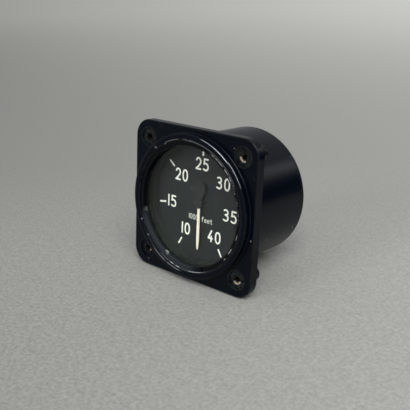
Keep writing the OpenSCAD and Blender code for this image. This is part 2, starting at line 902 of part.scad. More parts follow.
// Two bonded strips that bend with temperature and carry the motion of the capsules
module bimetal_arm() {
    length = rocker_z - arm_collar_r + 0.3;
    color("#c08a5a")
    rocked() difference() {
        union() {
            translate([-arm_w / 2, -arm_layer, -rocker_z])
                cube([arm_w, 2 * arm_layer, length]);
            cross_rod(arm_eye_r, -arm_w / 2, arm_w / 2, 0, -rocker_z);
        }
        cross_rod(arm_collar_r, -arm_w, arm_w, 0, 0);
        cross_rod(arm_pin_r, -arm_w, arm_w, 0, -rocker_z);
    }
}

module arm_pin() {
    color("#9aa0a6")
    cross_rod(arm_pin_r, -arm_pin_half, arm_pin_half, arm_end_y, arm_end_z);
}

module balance_weight() {
    weight_r = 1.6;
    weight_l = 2.4;
    color("#c9a24e")
    rocked() difference() {
        union() {
            cross_rod(rocker_r + 0.8, balance_x - 1, balance_x + 1, 0, 0);
            translate([balance_x, 0, rocker_r + 0.3]) cylinder(h = balance_rod_l, r = 0.4);
            translate([balance_x, 0, rocker_r + 0.3 + balance_rod_l - weight_l])
                cylinder(h = weight_l, r = weight_r);
        }
        cross_rod(rocker_r, balance_x - 1 - over, balance_x + 1 + over, 0, 0);
    }
}

// Two cheeks with slots that carry the arm pin, on a round base
module link_fork() {
    slot_r = arm_pin_r + 0.12;
    slot_rise = rocker_z * (1 - cos(rocker_half));
    half_z = 1.7;
    color("#c8b078")
    union() {
        for (side = [-1, 1]) {
            x0 = side < 0 ? -fork_gap - fork_t : fork_gap;
            difference() {
                translate([x0, arm_end_y - fork_ahead, arm_end_z - slot_rise / 2 - half_z])
                    cube([fork_t, fork_base_y - arm_end_y + fork_ahead, 2 * half_z]);
                for (z = [arm_end_z - slot_rise, arm_end_z]) {
                    cross_rod(slot_r, x0 - over, x0 + fork_t + over, arm_end_y, z);
                }
                translate([x0 - over, arm_end_y - slot_r, arm_end_z - slot_rise])
                    cube([fork_t + 2 * over, 2 * slot_r, slot_rise]);
            }
        }
        rod(fork_gap + fork_t + 0.4, fork_base_y - 0.6, fork_base_y);
    }
}

module capsule_boss() {
    color("#9aa0a6")
    rod(boss_r, fork_base_y, capsule_y);
}

// Half profile of a corrugated disc, from the centre to the rim, set in by an amount
function capsule_half(r_out, rim_half, centre_half, inset) =
    concat(
        [[0, centre_half - inset], [4 - inset, centre_half - inset]],
        [for (i = [1 : 3])
            let (r = 4 + (r_out - 7) * i / 3.6, fall = (centre_half - rim_half) * i / 3.6)
            each [
                [r - 1.6, centre_half - fall - 0.35 - inset],
                [r, centre_half - fall + 0.25 - inset]
            ]],
        [[r_out - 1.4, rim_half - inset], [r_out - inset, rim_half - inset]]
    );

// Sealed capsule of two corrugated discs
module capsule(y) {
    centre_half = capsule_t / 2;
    rim_half = capsule_rim_t / 2;
    r_out = capsule_d / 2;
    outer = capsule_half(r_out, rim_half, centre_half, 0);
    inner = capsule_half(r_out, rim_half, centre_half, capsule_wall);
    last = len(outer) - 1;
    front_out = [for (p = outer) [p[0], -p[1]]];
    back_out = [for (i = [last : -1 : 0]) outer[i]];
    back_in = inner;
    front_in = [for (i = [last : -1 : 0]) [inner[i][0], -inner[i][1]]];
    translate([0, y + centre_half, 0]) turned(concat(front_out, back_out, back_in, front_in));
}

module front_capsule() {
    color("#c9a24e") capsule(capsule_y);
}

module capsule_joint() {
    color("#9aa0a6") rod(boss_r, capsule_y + capsule_t, rear_capsule_y);
}

module rear_capsule() {
    color("#c9a24e") capsule(rear_capsule_y);
}

module capsule_stud() {
    color("#9aa0a6")
    union() {
        rod(stud_spacer_r, capsule_back, base_y);
        rod(stud_r, capsule_back + 0.5, cover_y + stud_nut_h);
    }
}

module capsule_nut() {
    color("#c9a24e")
    difference() {
        translate([0, cover_y, 0]) rotate([-90, 0, 0])
            cylinder(h = stud_nut_h, r = stud_nut_flats / 2 / cos(30), $fn = 6);
        rod(stud_r + thread_fit, cover_y - over, cover_y + stud_nut_h + over);
    }
}

module rear_cover() {
    edge_points = [
        for (a = [0 : 15 : 90])
            [body_r - cover_round * (1 - cos(a)), depth - cover_round * (1 - sin(a))]
    ];
    pocket_r = stud_nut_flats / 2 / cos(30) + 0.4;
    color("#1b1e22")
    difference() {
        turned(concat([[0, cover_y], [body_r, cover_y]], edge_points, [[0, depth]]));
        rod(pocket_r, cover_y - over, cover_y + stud_nut_h + 0.2);
        rod(port_spigot_r + thread_fit, cover_y - over, depth + over, 0, -port_drop);
        around(lug_ring_r, lug_angles)
            rod(cover_screw_r + screw_clearance, cover_y - over, depth + over);
        around(pillar_ring_r, pillar_angles) {
            rod(frame_screw_r + screw_clearance, cover_y - over, depth + over);
            translate([0, depth, 0]) rotate([90, 0, 0])
                cylinder(h = countersink_r, r1 = countersink_r, r2 = 0);
        }
    }
}

module rear_gasket() {
    color("#101010")
    turned([
        [rear_bore_r + slip, case_back],
        [body_r - 0.35, case_back],
        [body_r - 0.35, cover_y],
        [rear_bore_r + slip, cover_y]
    ]);
}

module cover_screws() {
    color("#3a3c3e")
    around(lug_ring_r, lug_angles)
        rear_screw(cover_screw_r, cover_t + rear_gasket_t + cover_screw_l - 0.5, screw_head_r,
            screw_head_h, depth);
}

// Countersunk screws through the rear cover and the base plate into the rear pillars
module movement_screws() {
    head_h = countersink_r - frame_screw_r;
    sunk = 0.05;
    shank_l = cover_t + base_t + movement_screw_l - 0.5;
    color("#9aa0a6")
    around(pillar_ring_r, pillar_angles) difference() {
        turned([
            [0, depth - shank_l],
            [frame_screw_r, depth - shank_l],
            [frame_screw_r, depth - head_h + thread_fit],
            [countersink_r - sunk - thread_fit, depth - sunk],
            [0, depth - sunk]
        ]);
        translate([-countersink_r, depth - slot_h, -slot_w / 2])
            cube([2 * countersink_r, slot_h + over, slot_w]);
    }
}

module static_port() {
    hex_r = port_flats / 2 / cos(30);
    port_back = depth + port_washer_t + port_l;
    bore_y = port_back - port_bore_l;
    color("#c9a24e")
    translate([0, 0, -port_drop]) difference() {
        union() {
            rod(port_spigot_r, depth - port_spigot_l, depth + port_washer_t + 0.5);
            translate([0, depth + port_washer_t, 0]) rotate([-90, 0, 0])
                cylinder(h = port_l, r = hex_r, $fn = 6);
        }
        rod(port_bore_d / 2, bore_y, port_back + over);
        rod(port_vent_r, depth - port_spigot_l - over, bore_y + over);
    }
}

module port_washer() {
    color("#7a3b2a")
    difference() {
        rod(port_washer_r, depth, depth + port_washer_t, 0, -port_drop);
        rod(port_spigot_r + thread_fit, depth - over, depth + port_washer_t + over, 0, -port_drop);
    }
}

case();
threaded_inserts();
retaining_ring();
glass();
glass_gasket();
dial_ring();
dial_plate();
pointer();
pointer_counterweight();
pointer_hub();
hand_staff();
staff_pinion();
hairspring();
hairspring_collet();
hairspring_stud();
front_plate();
middle_plate();
base_plate();
front_pillars();
rear_pillars();
front_plate_screws();
staff_bushes();
sector_bushes();
toothed_sector();
sector_arbor();
sector_tail();
banking_pins();
rocking_shaft();
rocker_brackets();
bracket_screws();
drive_finger();
arm_collar();
bimetal_arm();
arm_pin();
balance_weight();
link_fork();
capsule_boss();
front_capsule();
capsule_joint();
rear_capsule();
capsule_stud();
capsule_nut();
rear_cover();
rear_gasket();
cover_screws();
movement_screws();
static_port();
port_washer();
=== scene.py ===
"""Finishes, dial markings, studio and camera for the altimeter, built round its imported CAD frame."""

import json
import logging
import math
from dataclasses import dataclass, field
from enum import Enum
from functools import cache, partial, reduce
from typing import ClassVar, Union

import bmesh
import bpy
from mathutils import Matrix, Vector

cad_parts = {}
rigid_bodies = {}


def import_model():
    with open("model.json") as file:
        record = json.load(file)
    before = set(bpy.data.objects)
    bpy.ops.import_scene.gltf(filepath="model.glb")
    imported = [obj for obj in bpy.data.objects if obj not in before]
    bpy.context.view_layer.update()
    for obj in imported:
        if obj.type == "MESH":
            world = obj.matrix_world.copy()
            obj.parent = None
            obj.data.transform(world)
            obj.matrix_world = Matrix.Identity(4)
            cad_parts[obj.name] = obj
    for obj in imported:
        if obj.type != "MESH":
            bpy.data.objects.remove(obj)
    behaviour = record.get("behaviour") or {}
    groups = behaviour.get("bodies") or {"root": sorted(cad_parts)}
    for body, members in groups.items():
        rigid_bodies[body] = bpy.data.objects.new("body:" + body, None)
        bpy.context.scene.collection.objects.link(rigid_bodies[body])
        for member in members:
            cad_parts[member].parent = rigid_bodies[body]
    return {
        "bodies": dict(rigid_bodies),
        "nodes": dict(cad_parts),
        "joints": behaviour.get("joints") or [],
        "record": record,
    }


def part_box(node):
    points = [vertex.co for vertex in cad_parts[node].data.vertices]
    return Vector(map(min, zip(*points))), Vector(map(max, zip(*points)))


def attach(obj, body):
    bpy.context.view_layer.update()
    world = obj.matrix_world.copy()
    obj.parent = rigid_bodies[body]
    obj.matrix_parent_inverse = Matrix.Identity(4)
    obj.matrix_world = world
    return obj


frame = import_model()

MM = 0.001  # one millimetre in metres
Colour = tuple[float, float, float]
Point = tuple[float, float]
Triple = tuple[float, float, float]
Socket = bpy.types.NodeSocket
Sockets = dict[str, Socket]
Feed = Union[Socket, float, tuple]  # what can go into a socket
Skin = tuple[list[Vector], list[tuple[int, ...]]]  # points and faces
Dressed = list[tuple[bpy.types.Object, "Finish"]]
Coats = dict["Finish", tuple[str, ...]]

log = logging.getLogger("altimeter")

MOUNTS = {mount["name"]: mount for mount in frame["record"]["mounts"]}
JOINTS = {joint["name"]: joint for joint in frame["joints"]}
HOLE_OFFSET = MOUNTS["panel_holes"]["dims"]["spacing_x_mm"] / 2


def front_of(node: str) -> float:
    """Gives the depth at which a CAD node begins, in millimetres behind the flange's front."""
    return round(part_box(node)[0].y / MM, 3)


def seen(red: float, green: float, blue: float) -> Colour:
    """Turns a colour as it looks on a screen into the light values that shaders take.

    Args:
        red, green, blue: the colour's parts, from 0 to 255.

    Returns:
        The same colour in linear light.
    """
    shares = (red / 255, green / 255, blue / 255)
    return tuple(s / 12.92 if s <= 0.04045 else ((s + 0.055) / 1.055) ** 2.4 for s in shares)


# Node sheets


class Sheet:
    """Lays nodes into one node tree and joins them."""

    COLUMN_WIDTH: ClassVar[float] = 190.0

    def __init__(self, tree: bpy.types.NodeTree) -> None:
        """Starts on a tree."""
        self.tree = tree

    def feed(self, socket: Socket, value: Feed) -> None:
        """Joins a socket to another one, or sets its own value.

        Args:
            socket: the input that takes the value.
            value: an output socket, a number, a vector or a colour.
        """
        if isinstance(value, Socket):
            self.tree.links.new(value, socket)
        else:
            socket.default_value = (*value, 1.0) if socket.type == "RGBA" else value

    def node(self, kind: str, feeds: dict | None = None, **settings: object) -> bpy.types.Node:
        """Places one node.

        Args:
            kind: the node's type name.
            feeds: what goes into each input, by the input's name or number.
            settings: the node's own settings.

        Returns:
            The new node.
        """
        made = self.tree.nodes.new(kind)
        made.location = (len(self.tree.nodes) * self.COLUMN_WIDTH, 0)
        for name, value in settings.items():
            setattr(made, name, value)
        for name, value in (feeds or {}).items():
            self.feed(made.inputs[name], value)
        return made

    def sum(self, operation: str, *values: Feed) -> Socket:
        """Does one step of arithmetic, named as the Math node names it."""
        return self.node("ShaderNodeMath", dict(enumerate(values)), operation=operation).outputs[0]

    def plus(self, first: Feed, second: Feed) -> Socket:
        """Adds two values."""
        return self.sum("ADD", first, second)

    def less(self, first: Feed, second: Feed) -> Socket:
        """Takes the second value from the first one."""
        return self.sum("SUBTRACT", first, second)

    def over(self, first: Feed, second: Feed) -> Socket:
        """Divides the first value by the second one."""
        return self.sum("DIVIDE", first, second)

    def both(self, *shares: Feed) -> Feed:
        """Multiplies shares."""
        return reduce(partial(self.sum, "MULTIPLY"), shares)

    def either(self, *shares: Feed) -> Feed:
        """Gives the largest of some shares."""
        return reduce(partial(self.sum, "MAXIMUM"), shares)

    def size(self, value: Feed) -> Socket:
        """Drops a value's sign."""
        return self.sum("ABSOLUTE", value)

    def length(self, across: Feed, up: Feed) -> Socket:
        """Gives the distance that two sides at right angles span."""
        return self.sum("SQRT", self.plus(self.both(across, across), self.both(up, up)))

    def rise(self, value: Feed, start: float, end: float) -> Socket:
        """Gives a smooth step from 0 at start to 1 at end, whichever of the two is the larger."""
        return self.node("ShaderNodeMapRange", {0: value, 1: start, 2: end, 3: 0.0, 4: 1.0},
                         interpolation_type="SMOOTHSTEP").outputs[0]

    def spread(self, value: Feed, low: float, high: float) -> Socket:
        """Spreads a share from 0 to 1 over a range from low to high."""
        return self.node("ShaderNodeMapRange", {0: value, 1: 0.0, 2: 1.0, 3: low, 4: high}).outputs[0]

    def around(self, value: Feed, middle: float, reach: float) -> Socket:
        """Spreads a share from 0 to 1 evenly round a middle value."""
        return self.spread(value, middle - reach, middle + reach)

    def kept(self, noise: Feed, share: Feed, softness: float = 0.05) -> Socket:
        """Keeps about the given share of a noise's area, with soft borders."""
        return self.rise(self.plus(noise, self.less(share, 1.0)), -softness, softness)

    def blend(self, share: Feed, low: Feed, high: Feed) -> Socket:
        """Blends from the low colour at a share of 0 to the high one at 1."""
        return self.node("ShaderNodeMix", {0: share, 6: low, 7: high}, data_type="RGBA").outputs[2]

    def layered(self, ground: Feed, layers: list[tuple[Feed, Feed]]) -> Feed:
        """Lays colours over each other.

        Args:
            ground: the lowest colour.
            layers: for each further layer, how far it covers and its colour.

        Returns:
            The colour that shows.
        """
        for share, colour in layers:
            ground = self.blend(share, ground, colour)
        return ground

    def noise(self, place: Feed, scale: Feed, detail: float = 2.0, roughness: float = 0.55) -> Socket:
        """Gives soft noise from 0 to 1.

        Args:
            place: the point's coordinates.
            scale: how many cells one unit of the coordinates holds.
            detail: how many finer layers are added.
            roughness: how strong the finer layers are.

        Returns:
            The noise value's socket.
        """
        feeds = {"Vector": place, "Scale": scale, "Detail": detail, "Roughness": roughness}
        return self.node("ShaderNodeTexNoise", feeds).outputs[0]

    def vector(self, x: Feed, y: Feed, z: Feed) -> Socket:
        """Puts three numbers together as a vector."""
        return self.node("ShaderNodeCombineXYZ", {0: x, 1: y, 2: z}).outputs[0]

    def parts(self, vector: Feed) -> list[Socket]:
        """Splits a vector into its three numbers."""
        return list(self.node("ShaderNodeSeparateXYZ", {0: vector}).outputs)

    def on_vectors(self, operation: str, first: Feed, second: Feed) -> Socket:
        """Does one step of arithmetic on two vectors, and gives the vector."""
        return self.node("ShaderNodeVectorMath", {0: first, 1: second}, operation=operation).outputs[0]

    def facing(self) -> list[Socket]:
        """Gives the three parts of the surface's own direction."""
        return self.parts(self.node("ShaderNodeTexCoord").outputs["Normal"])

    def openness(self, reach: Feed) -> Socket:
        """Gives how open the surface is within a reach in metres, from 0 to 1."""
        return self.node("ShaderNodeAmbientOcclusion", {"Distance": reach}, samples=6).outputs["AO"]


class SocketKind(Enum):
    """What a group's socket carries."""

    NUMBER = "NodeSocketFloat"
    VECTOR = "NodeSocketVector"


@dataclass(frozen=True)
class Plug:
    """One named input or output of an effect group."""

    name: str
    default: float = 0.0
    kind: SocketKind = SocketKind.NUMBER


PLACE = Plug("Place", 0.0, SocketKind.VECTOR)
POLAR = (Plug("Radius"), Plug("Depth"), Plug("Angle"))
MASK = Plug("Mask")
HEIGHT = Plug("Height")


class Effect:
    """A shader group that is built once and placed in many materials."""

    label: ClassVar[str] = ""
    takes: ClassVar[tuple[Plug, ...]] = ()
    gives: ClassVar[tuple[Plug, ...]] = ()
    built: ClassVar[dict[str, bpy.types.NodeTree]] = {}

    @classmethod
    def tree(cls) -> bpy.types.NodeTree:
        """Gives the group's node tree, and builds it on the first call.

        Returns:
            The shader group.
        """
        if cls.label not in cls.built:
            tree = bpy.data.node_groups.new(cls.label, "ShaderNodeTree")
            for plug in cls.takes:
                made = tree.interface.new_socket(plug.name, in_out="INPUT", socket_type=plug.kind.value)
                if plug.kind is SocketKind.NUMBER:
                    made.default_value = plug.default
            for plug in cls.gives:
                tree.interface.new_socket(plug.name, in_out="OUTPUT", socket_type=plug.kind.value)
            sheet = Sheet(tree)
            given = {socket.name: socket for socket in sheet.node("NodeGroupInput").outputs if socket.name}
            results = cls.draw(sheet, given)
            end = sheet.node("NodeGroupOutput")
            for plug, result in zip(cls.gives, results):
                sheet.feed(end.inputs[plug.name], result)
            cls.built[cls.label] = tree
        return cls.built[cls.label]

    @classmethod
    def draw(cls, sheet: Sheet, given: Sockets) -> list[Socket]:
        """Lays the group's nodes.

        Args:
            sheet: the group's node sheet.
            given: the group's input sockets by name.

        Returns:
            One socket for each output, in the order of gives.
        """
        raise NotImplementedError

    @classmethod
    def put(cls, sheet: Sheet, **values: Feed) -> Sockets:
        """Places the group in a material.

        Args:
            sheet: the material's node sheet.
            values: what goes into each input, with _ for a space in its name.

        Returns:
            The group's output sockets by name.
        """
        node = sheet.node("ShaderNodeGroup", node_tree=cls.tree())
        for name, value in values.items():
            sheet.feed(node.inputs[name.replace("_", " ")], value)
        return {socket.name: socket for socket in node.outputs}


class CasePlace(Effect):
    """Where a point lies on a turned part: millimetres, radius, depth and angle from the top."""

    label = "case place"
    takes = (Plug("Centre X"), Plug("Centre Z"))
    gives = (PLACE, *POLAR)

    @classmethod
    def draw(cls, sheet: Sheet, given: Sockets) -> list[Socket]:
        """Reads the object's own coordinates and turns them into millimetres and polar values.

        Args:
            sheet: the group's node sheet.
            given: the axis that radius and angle are measured from.

        Returns:
            The sockets of place, radius, depth and angle.
        """
        own = sheet.node("ShaderNodeTexCoord").outputs["Object"]
        place = sheet.on_vectors("MULTIPLY", own, (1 / MM, 1 / MM, 1 / MM))
        x, depth, z = sheet.parts(place)
        across, up = sheet.less(x, given["Centre X"]), sheet.less(z, given["Centre Z"])
        angle = sheet.sum("DEGREES", sheet.sum("ARCTAN2", across, up))
        return [place, sheet.length(across, up), depth, angle]


class EdgeWear(Effect):
    """Where a finish has rubbed off along outer edges, in patches."""

    label = "edge wear"
    takes = (PLACE, Plug("Width", 0.4), Plug("Patch Scale", 0.35), Plug("Amount", 0.5))
    gives = (MASK,)

    @classmethod
    def draw(cls, sheet: Sheet, given: Sockets) -> list[Socket]:
        """Compares a rounded normal with the real one, leaves inner corners out and breaks the rest up.

        Args:
            sheet: the group's node sheet.
            given: place, width in millimetres, scale and amount of the patches.

        Returns:
            The mask's socket.
        """
        rounded = sheet.node("ShaderNodeBevel", {"Radius": sheet.both(given["Width"], MM)}, samples=6)
        normal = sheet.node("ShaderNodeNewGeometry").outputs["Normal"]
        feeds = {0: rounded.outputs[0], 1: normal}
        likeness = sheet.node("ShaderNodeVectorMath", feeds, operation="DOT_PRODUCT").outputs["Value"]
        edge = sheet.rise(likeness, 0.995, 0.93)
        outer = sheet.rise(sheet.openness(sheet.both(given["Width"], 3 * MM)), 0.62, 0.82)
        patches = sheet.noise(given["Place"], given["Patch Scale"], detail=4.0, roughness=0.7)
        return [sheet.both(edge, outer, sheet.kept(patches, given["Amount"], 0.06))]


class Grain(Effect):
    """Fine unevenness of a painted, cast or rubbed surface, with a broad drift on top."""

    label = "grain"
    takes = (PLACE, Plug("Scale", 4.0), Plug("Drift Scale", 0.08))
    gives = (Plug("Fine"), Plug("Drift"))

    @classmethod
    def draw(cls, sheet: Sheet, given: Sockets) -> list[Socket]:
        """Lays two noises, one fine and one broad.

        Args:
            sheet: the group's node sheet.
            given: place and the scales of the two noises.

        Returns:
            The sockets of the fine unevenness and of the drift.
        """
        fine, broad = (sheet.noise(given["Place"], given[scale], detail=3.0, roughness=0.6)
                       for scale in ("Scale", "Drift Scale"))
        return [fine, sheet.rise(broad, 0.3, 0.7)]


class Dust(Effect):
    """Pale dust that lies on upper faces and gathers in corners."""

    label = "dust"
    takes = (PLACE, Plug("Scale", 1.6), Plug("Amount", 0.5))
    gives = (MASK,)
    CORNER_REACH: ClassVar[float] = 2.5 * MM

    @classmethod
    def draw(cls, sheet: Sheet, given: Sockets) -> list[Socket]:
        """Joins an upward mask with a corner mask, and breaks both up with specks.

        Args:
            sheet: the group's node sheet.
            given: place, scale of the specks and amount of dust.

        Returns:
            The mask's socket.
        """
        lying = sheet.both(sheet.rise(sheet.facing()[2], 0.1, 1.0), 0.6)
        corner = sheet.rise(sheet.openness(cls.CORNER_REACH), 0.75, 0.3)
        speckled = sheet.noise(given["Place"], given["Scale"], detail=5.0, roughness=0.75)
        specks = sheet.rise(speckled, 0.42, 0.75)
        return [sheet.both(sheet.either(lying, corner), specks, given["Amount"])]


class Chips(Effect):
    """Small broken-edged spots where paint has gone, one in some of the cells."""

    label = "chips"
    takes = (PLACE, Plug("Scale", 0.25), Plug("Size", 0.12), Plug("Share", 0.3))
    gives = (MASK,)

    @classmethod
    def draw(cls, sheet: Sheet, given: Sockets) -> list[Socket]:
        """Thresholds the distance to cell points, and keeps the cells whose own number is low.

        Args:
            sheet: the group's node sheet.
            given: place, cells per millimetre, size of a chip in cells and share of cells with one.

        Returns:
            The mask's socket.
        """
        shake = sheet.node("ShaderNodeTexNoise", {"Vector": given["Place"], "Scale": 1.7, "Detail": 3.0})
        shaken = sheet.on_vectors("SUBTRACT", shake.outputs["Color"], (0.5, 0.5, 0.5))
        moved = sheet.on_vectors("ADD", given["Place"], shaken)
        cells = sheet.node("ShaderNodeTexVoronoi", {"Vector": moved, "Scale": given["Scale"]})
        kept = sheet.sum("LESS_THAN", sheet.parts(cells.outputs["Color"])[0], given["Share"])
        return [sheet.both(sheet.rise(sheet.less(given["Size"], cells.outputs["Distance"]), 0.0, 0.03), kept)]


class Scratches(Effect):
    """Fine lines in two directions, broken up so that few of them run far."""

    label = "scratches"
    takes = (PLACE, Plug("Scale", 0.5), Plug("Share", 0.3))
    gives = (MASK,)
    TURNS: ClassVar[Point] = (0.5, 2.1)
    STRETCH: ClassVar[Triple] = (9.0, 9.0, 0.35)
    LINE_SCALE: ClassVar[float] = 0.12
    HALF_WIDTH: ClassVar[float] = 0.012

    @classmethod
    def draw(cls, sheet: Sheet, given: Sockets) -> list[Socket]:
        """Takes thin contour lines of noises that are stretched along a slant.

        Args:
            sheet: the group's node sheet.
            given: place, scale and share of the lines.

        Returns:
            The mask's socket.
        """
        lines = []
        for turn in cls.TURNS:
            turned = sheet.node("ShaderNodeVectorRotate", {"Vector": given["Place"], "Angle": turn},
                                rotation_type="Y_AXIS").outputs[0]
            stretched = sheet.on_vectors("MULTIPLY", turned, cls.STRETCH)
            noise = sheet.noise(stretched, sheet.both(given["Scale"], cls.LINE_SCALE), detail=1.0)
            line = sheet.rise(sheet.size(sheet.less(noise, 0.5)), cls.HALF_WIDTH, 0.0)
            lines.append(sheet.both(line, sheet.kept(sheet.noise(turned, given["Scale"]), given["Share"])))
        return [sheet.either(*lines)]


class TurnedMarks(Effect):
    """Fine rings that a lathe leaves round an axis."""

    label = "turned marks"
    takes = (*POLAR, Plug("Pitch Scale", 6.0))
    gives = (HEIGHT,)
    AROUND: ClassVar[float] = 0.004

    @classmethod
    def draw(cls, sheet: Sheet, given: Sockets) -> list[Socket]:
        """Stretches a noise along the turning direction."""
        place = sheet.vector(given["Radius"], given["Depth"], sheet.both(given["Angle"], cls.AROUND))
        return [sheet.noise(place, given["Pitch Scale"], detail=3.0, roughness=0.8)]


class BrushedMarks(Effect):
    """Straight fine lines of a brushed plate."""

    label = "brushed marks"
    takes = (PLACE, Plug("Scale", 3.0))
    gives = (HEIGHT,)
    STRETCH: ClassVar[Triple] = (0.06, 1.0, 2.4)

    @classmethod
    def draw(cls, sheet: Sheet, given: Sockets) -> list[Socket]:
        """Stretches a noise along the plate's width."""
        stretched = sheet.on_vectors("MULTIPLY", given["Place"], cls.STRETCH)
        return [sheet.noise(stretched, given["Scale"], detail=4.0, roughness=0.75)]


class HoleDistance(Effect):
    """How far a point is from the axis of the nearest mounting hole."""

    label = "hole distance"
    takes = (Plug("Hole Offset", HOLE_OFFSET),)
    gives = (Plug("Away"),)

    @classmethod
    def draw(cls, sheet: Sheet, given: Sockets) -> list[Socket]:
        """Folds the four corners onto one and measures there.

        Args:
            sheet: the group's node sheet.
            given: how far each hole is from the middle, across and up.

        Returns:
            The distance's socket.
        """
        x, _, z = sheet.parts(CasePlace.put(sheet)["Place"])
        across, up = (sheet.less(sheet.size(side), given["Hole Offset"]) for side in (x, z))
        return [sheet.length(across, up)]


class HoleSmear(Effect):
    """Greyed old paint round three of the four mounting holes, on the flange's front."""

    label = "hole smear"
    takes = (Plug("Reach", 6.0), Plug("Recess Radius", 5.0))
    gives = (MASK, Plug("Rim"))

    @classmethod
    def draw(cls, sheet: Sheet, given: Sockets) -> list[Socket]:
        """Fades the distance to the nearest hole with noise, and marks the edge of its recess.

        Args:
            sheet: the group's node sheet.
            given: how far the smear reaches and how wide the recess is.

        Returns:
            The sockets of the smear and of the rim.
        """
        away, place = HoleDistance.put(sheet)["Away"], CasePlace.put(sheet)["Place"]
        x, y, z = sheet.parts(place)
        near = sheet.rise(sheet.over(away, given["Reach"]), 1.0, 0.55)
        front = sheet.rise(y, 1.5, 0.4)
        corner = sheet.rise(sheet.plus(x, z), -42.0, -30.0)
        broken = sheet.rise(sheet.noise(place, 0.55, detail=4.0, roughness=0.7), 0.38, 0.66)
        edge = sheet.rise(sheet.size(sheet.less(away, given["Recess Radius"])), 0.5, 0.1)
        partly = sheet.rise(sheet.noise(place, 0.16), 0.46, 0.62)
        return [sheet.both(near, front, corner, broken), sheet.both(edge, front, partly, corner)]


class Arc(Effect):
    """A broken streak along part of a turned edge."""

    label = "arc"
    takes = (*POLAR, Plug("Arc Radius"), Plug("Arc Depth"), Plug("Width", 0.4), Plug("Middle"),
             Plug("Span", 30.0), Plug("Dash Scale", 0.3), Plug("Share", 0.5))
    gives = (MASK,)

    @classmethod
    def draw(cls, sheet: Sheet, given: Sockets) -> list[Socket]:
        """Keeps what is near the edge and near the middle angle, and breaks it into dashes.

        Args:
            sheet: the group's node sheet.
            given: the point's polar place, then the streak's own values.

        Returns:
            The mask's socket.
        """
        out = sheet.less(given["Radius"], given["Arc Radius"])
        deep = sheet.less(given["Depth"], given["Arc Depth"])
        near = sheet.rise(sheet.over(sheet.length(out, deep), given["Width"]), 1.0, 0.5)
        turned = sheet.sum("WRAP", sheet.less(given["Angle"], given["Middle"]), 180.0, -180.0)
        along = sheet.rise(sheet.over(sheet.size(turned), given["Span"]), 1.0, 0.7)
        line = sheet.vector(given["Angle"], given["Arc Radius"], 0.0)
        dashes = sheet.noise(line, given["Dash Scale"], detail=3.0, roughness=0.7)
        return [sheet.both(near, along, sheet.kept(dashes, given["Share"]))]


class Spot(Effect):
    """One soft-edged spot round a point."""

    label = "spot"
    takes = (PLACE, Plug("X"), Plug("Y"), Plug("Z"), Plug("Reach", 1.0))
    gives = (MASK,)

    @classmethod
    def draw(cls, sheet: Sheet, given: Sockets) -> list[Socket]:
        """Fades from the point outwards, with a broken edge.

        Args:
            sheet: the group's node sheet.
            given: place, the spot's point and its reach.

        Returns:
            The mask's socket.
        """
        centre = sheet.vector(given["X"], given["Y"], given["Z"])
        away = sheet.node("ShaderNodeVectorMath", {0: given["Place"], 1: centre}, operation="DISTANCE")
        share = sheet.over(away.outputs["Value"], given["Reach"])
        broken = sheet.less(sheet.noise(given["Place"], 1.9, detail=3.0, roughness=0.7), 0.5)
        return [sheet.rise(sheet.plus(share, broken), 1.0, 0.6)]


class SurfaceSheet(Sheet):
    """A material's node sheet, which knows the point's place and feeds one Principled shader."""

    def __init__(self, tree: bpy.types.NodeTree, centre: Point) -> None:
        """Starts on a tree, with the shader and the point's place.

        Args:
            tree: the material's node tree.
            centre: the x and z in millimetres of the axis that radius and angle are measured from.
        """
        super().__init__(tree)
        self.shader = self.node("ShaderNodeBsdfPrincipled")
        self.place = CasePlace.put(self, Centre_X=centre[0], Centre_Z=centre[1])
        self.here = self.place[PLACE.name]

    def polar(self) -> Sockets:
        """Gives the point's radius, depth and angle by name."""
        return {plug.name: self.place[plug.name] for plug in POLAR}

    def mask(self, effect: type[Effect], **values: Feed) -> Socket:
        """Lays an effect over the surface, and gives its mask."""
        return effect.put(self, Place=self.here, **values)[MASK.name]

    def grain(self, scale: float, drift_scale: float = 0.08) -> tuple[Socket, Socket]:
        """Gives the surface's fine unevenness and its broad drift, by their cells per millimetre."""
        made = Grain.put(self, Place=self.here, Scale=scale, Drift_Scale=drift_scale)
        return made["Fine"], made["Drift"]

    def turned(self, scale: float = 6.0) -> Socket:
        """Gives the height of fine rings round the surface's axis."""
        return TurnedMarks.put(self, **self.polar(), Pitch_Scale=scale)[HEIGHT.name]

    def brushed(self, scale: float) -> Socket:
        """Gives the height of straight fine lines."""
        return BrushedMarks.put(self, Place=self.here, Scale=scale)[HEIGHT.name]

    def fill(self, height: Feed, depth: float, **values: Feed) -> None:
        """Gives the shader relief and feeds its other inputs.

        Args:
            height: the relief's height, from 0 to 1.
            depth: how deep the relief is, in millimetres.
            values: what goes into each other input, with _ for a space in its name.
        """
        relief = self.node("ShaderNodeBump", {"Height": height, "Distance": depth * MM, "Strength": 1.0})
        values["Normal"] = relief.outputs[0]
        for name, value in values.items():
            self.feed(self.shader.inputs[name.replace("_", " ")], value)


@dataclass(frozen=True)
class Streak:
    """Where one worn streak lies on a turned edge, in millimetres and degrees, and how broken it is."""

    radius: float
    depth: float
    width: float
    middle: float
    span: float
    dash: float
    share: float

    def mask(self, sheet: SurfaceSheet) -> Socket:
        """Places the arc effect for this streak.

        Args:
            sheet: the material's node sheet.

        Returns:
            The streak's mask.
        """
        return Arc.put(sheet, **sheet.polar(), Arc_Radius=self.radius, Arc_Depth=self.depth, Width=self.width,
                       Middle=self.middle, Span=self.span, Dash_Scale=self.dash, Share=self.share)[MASK.name]


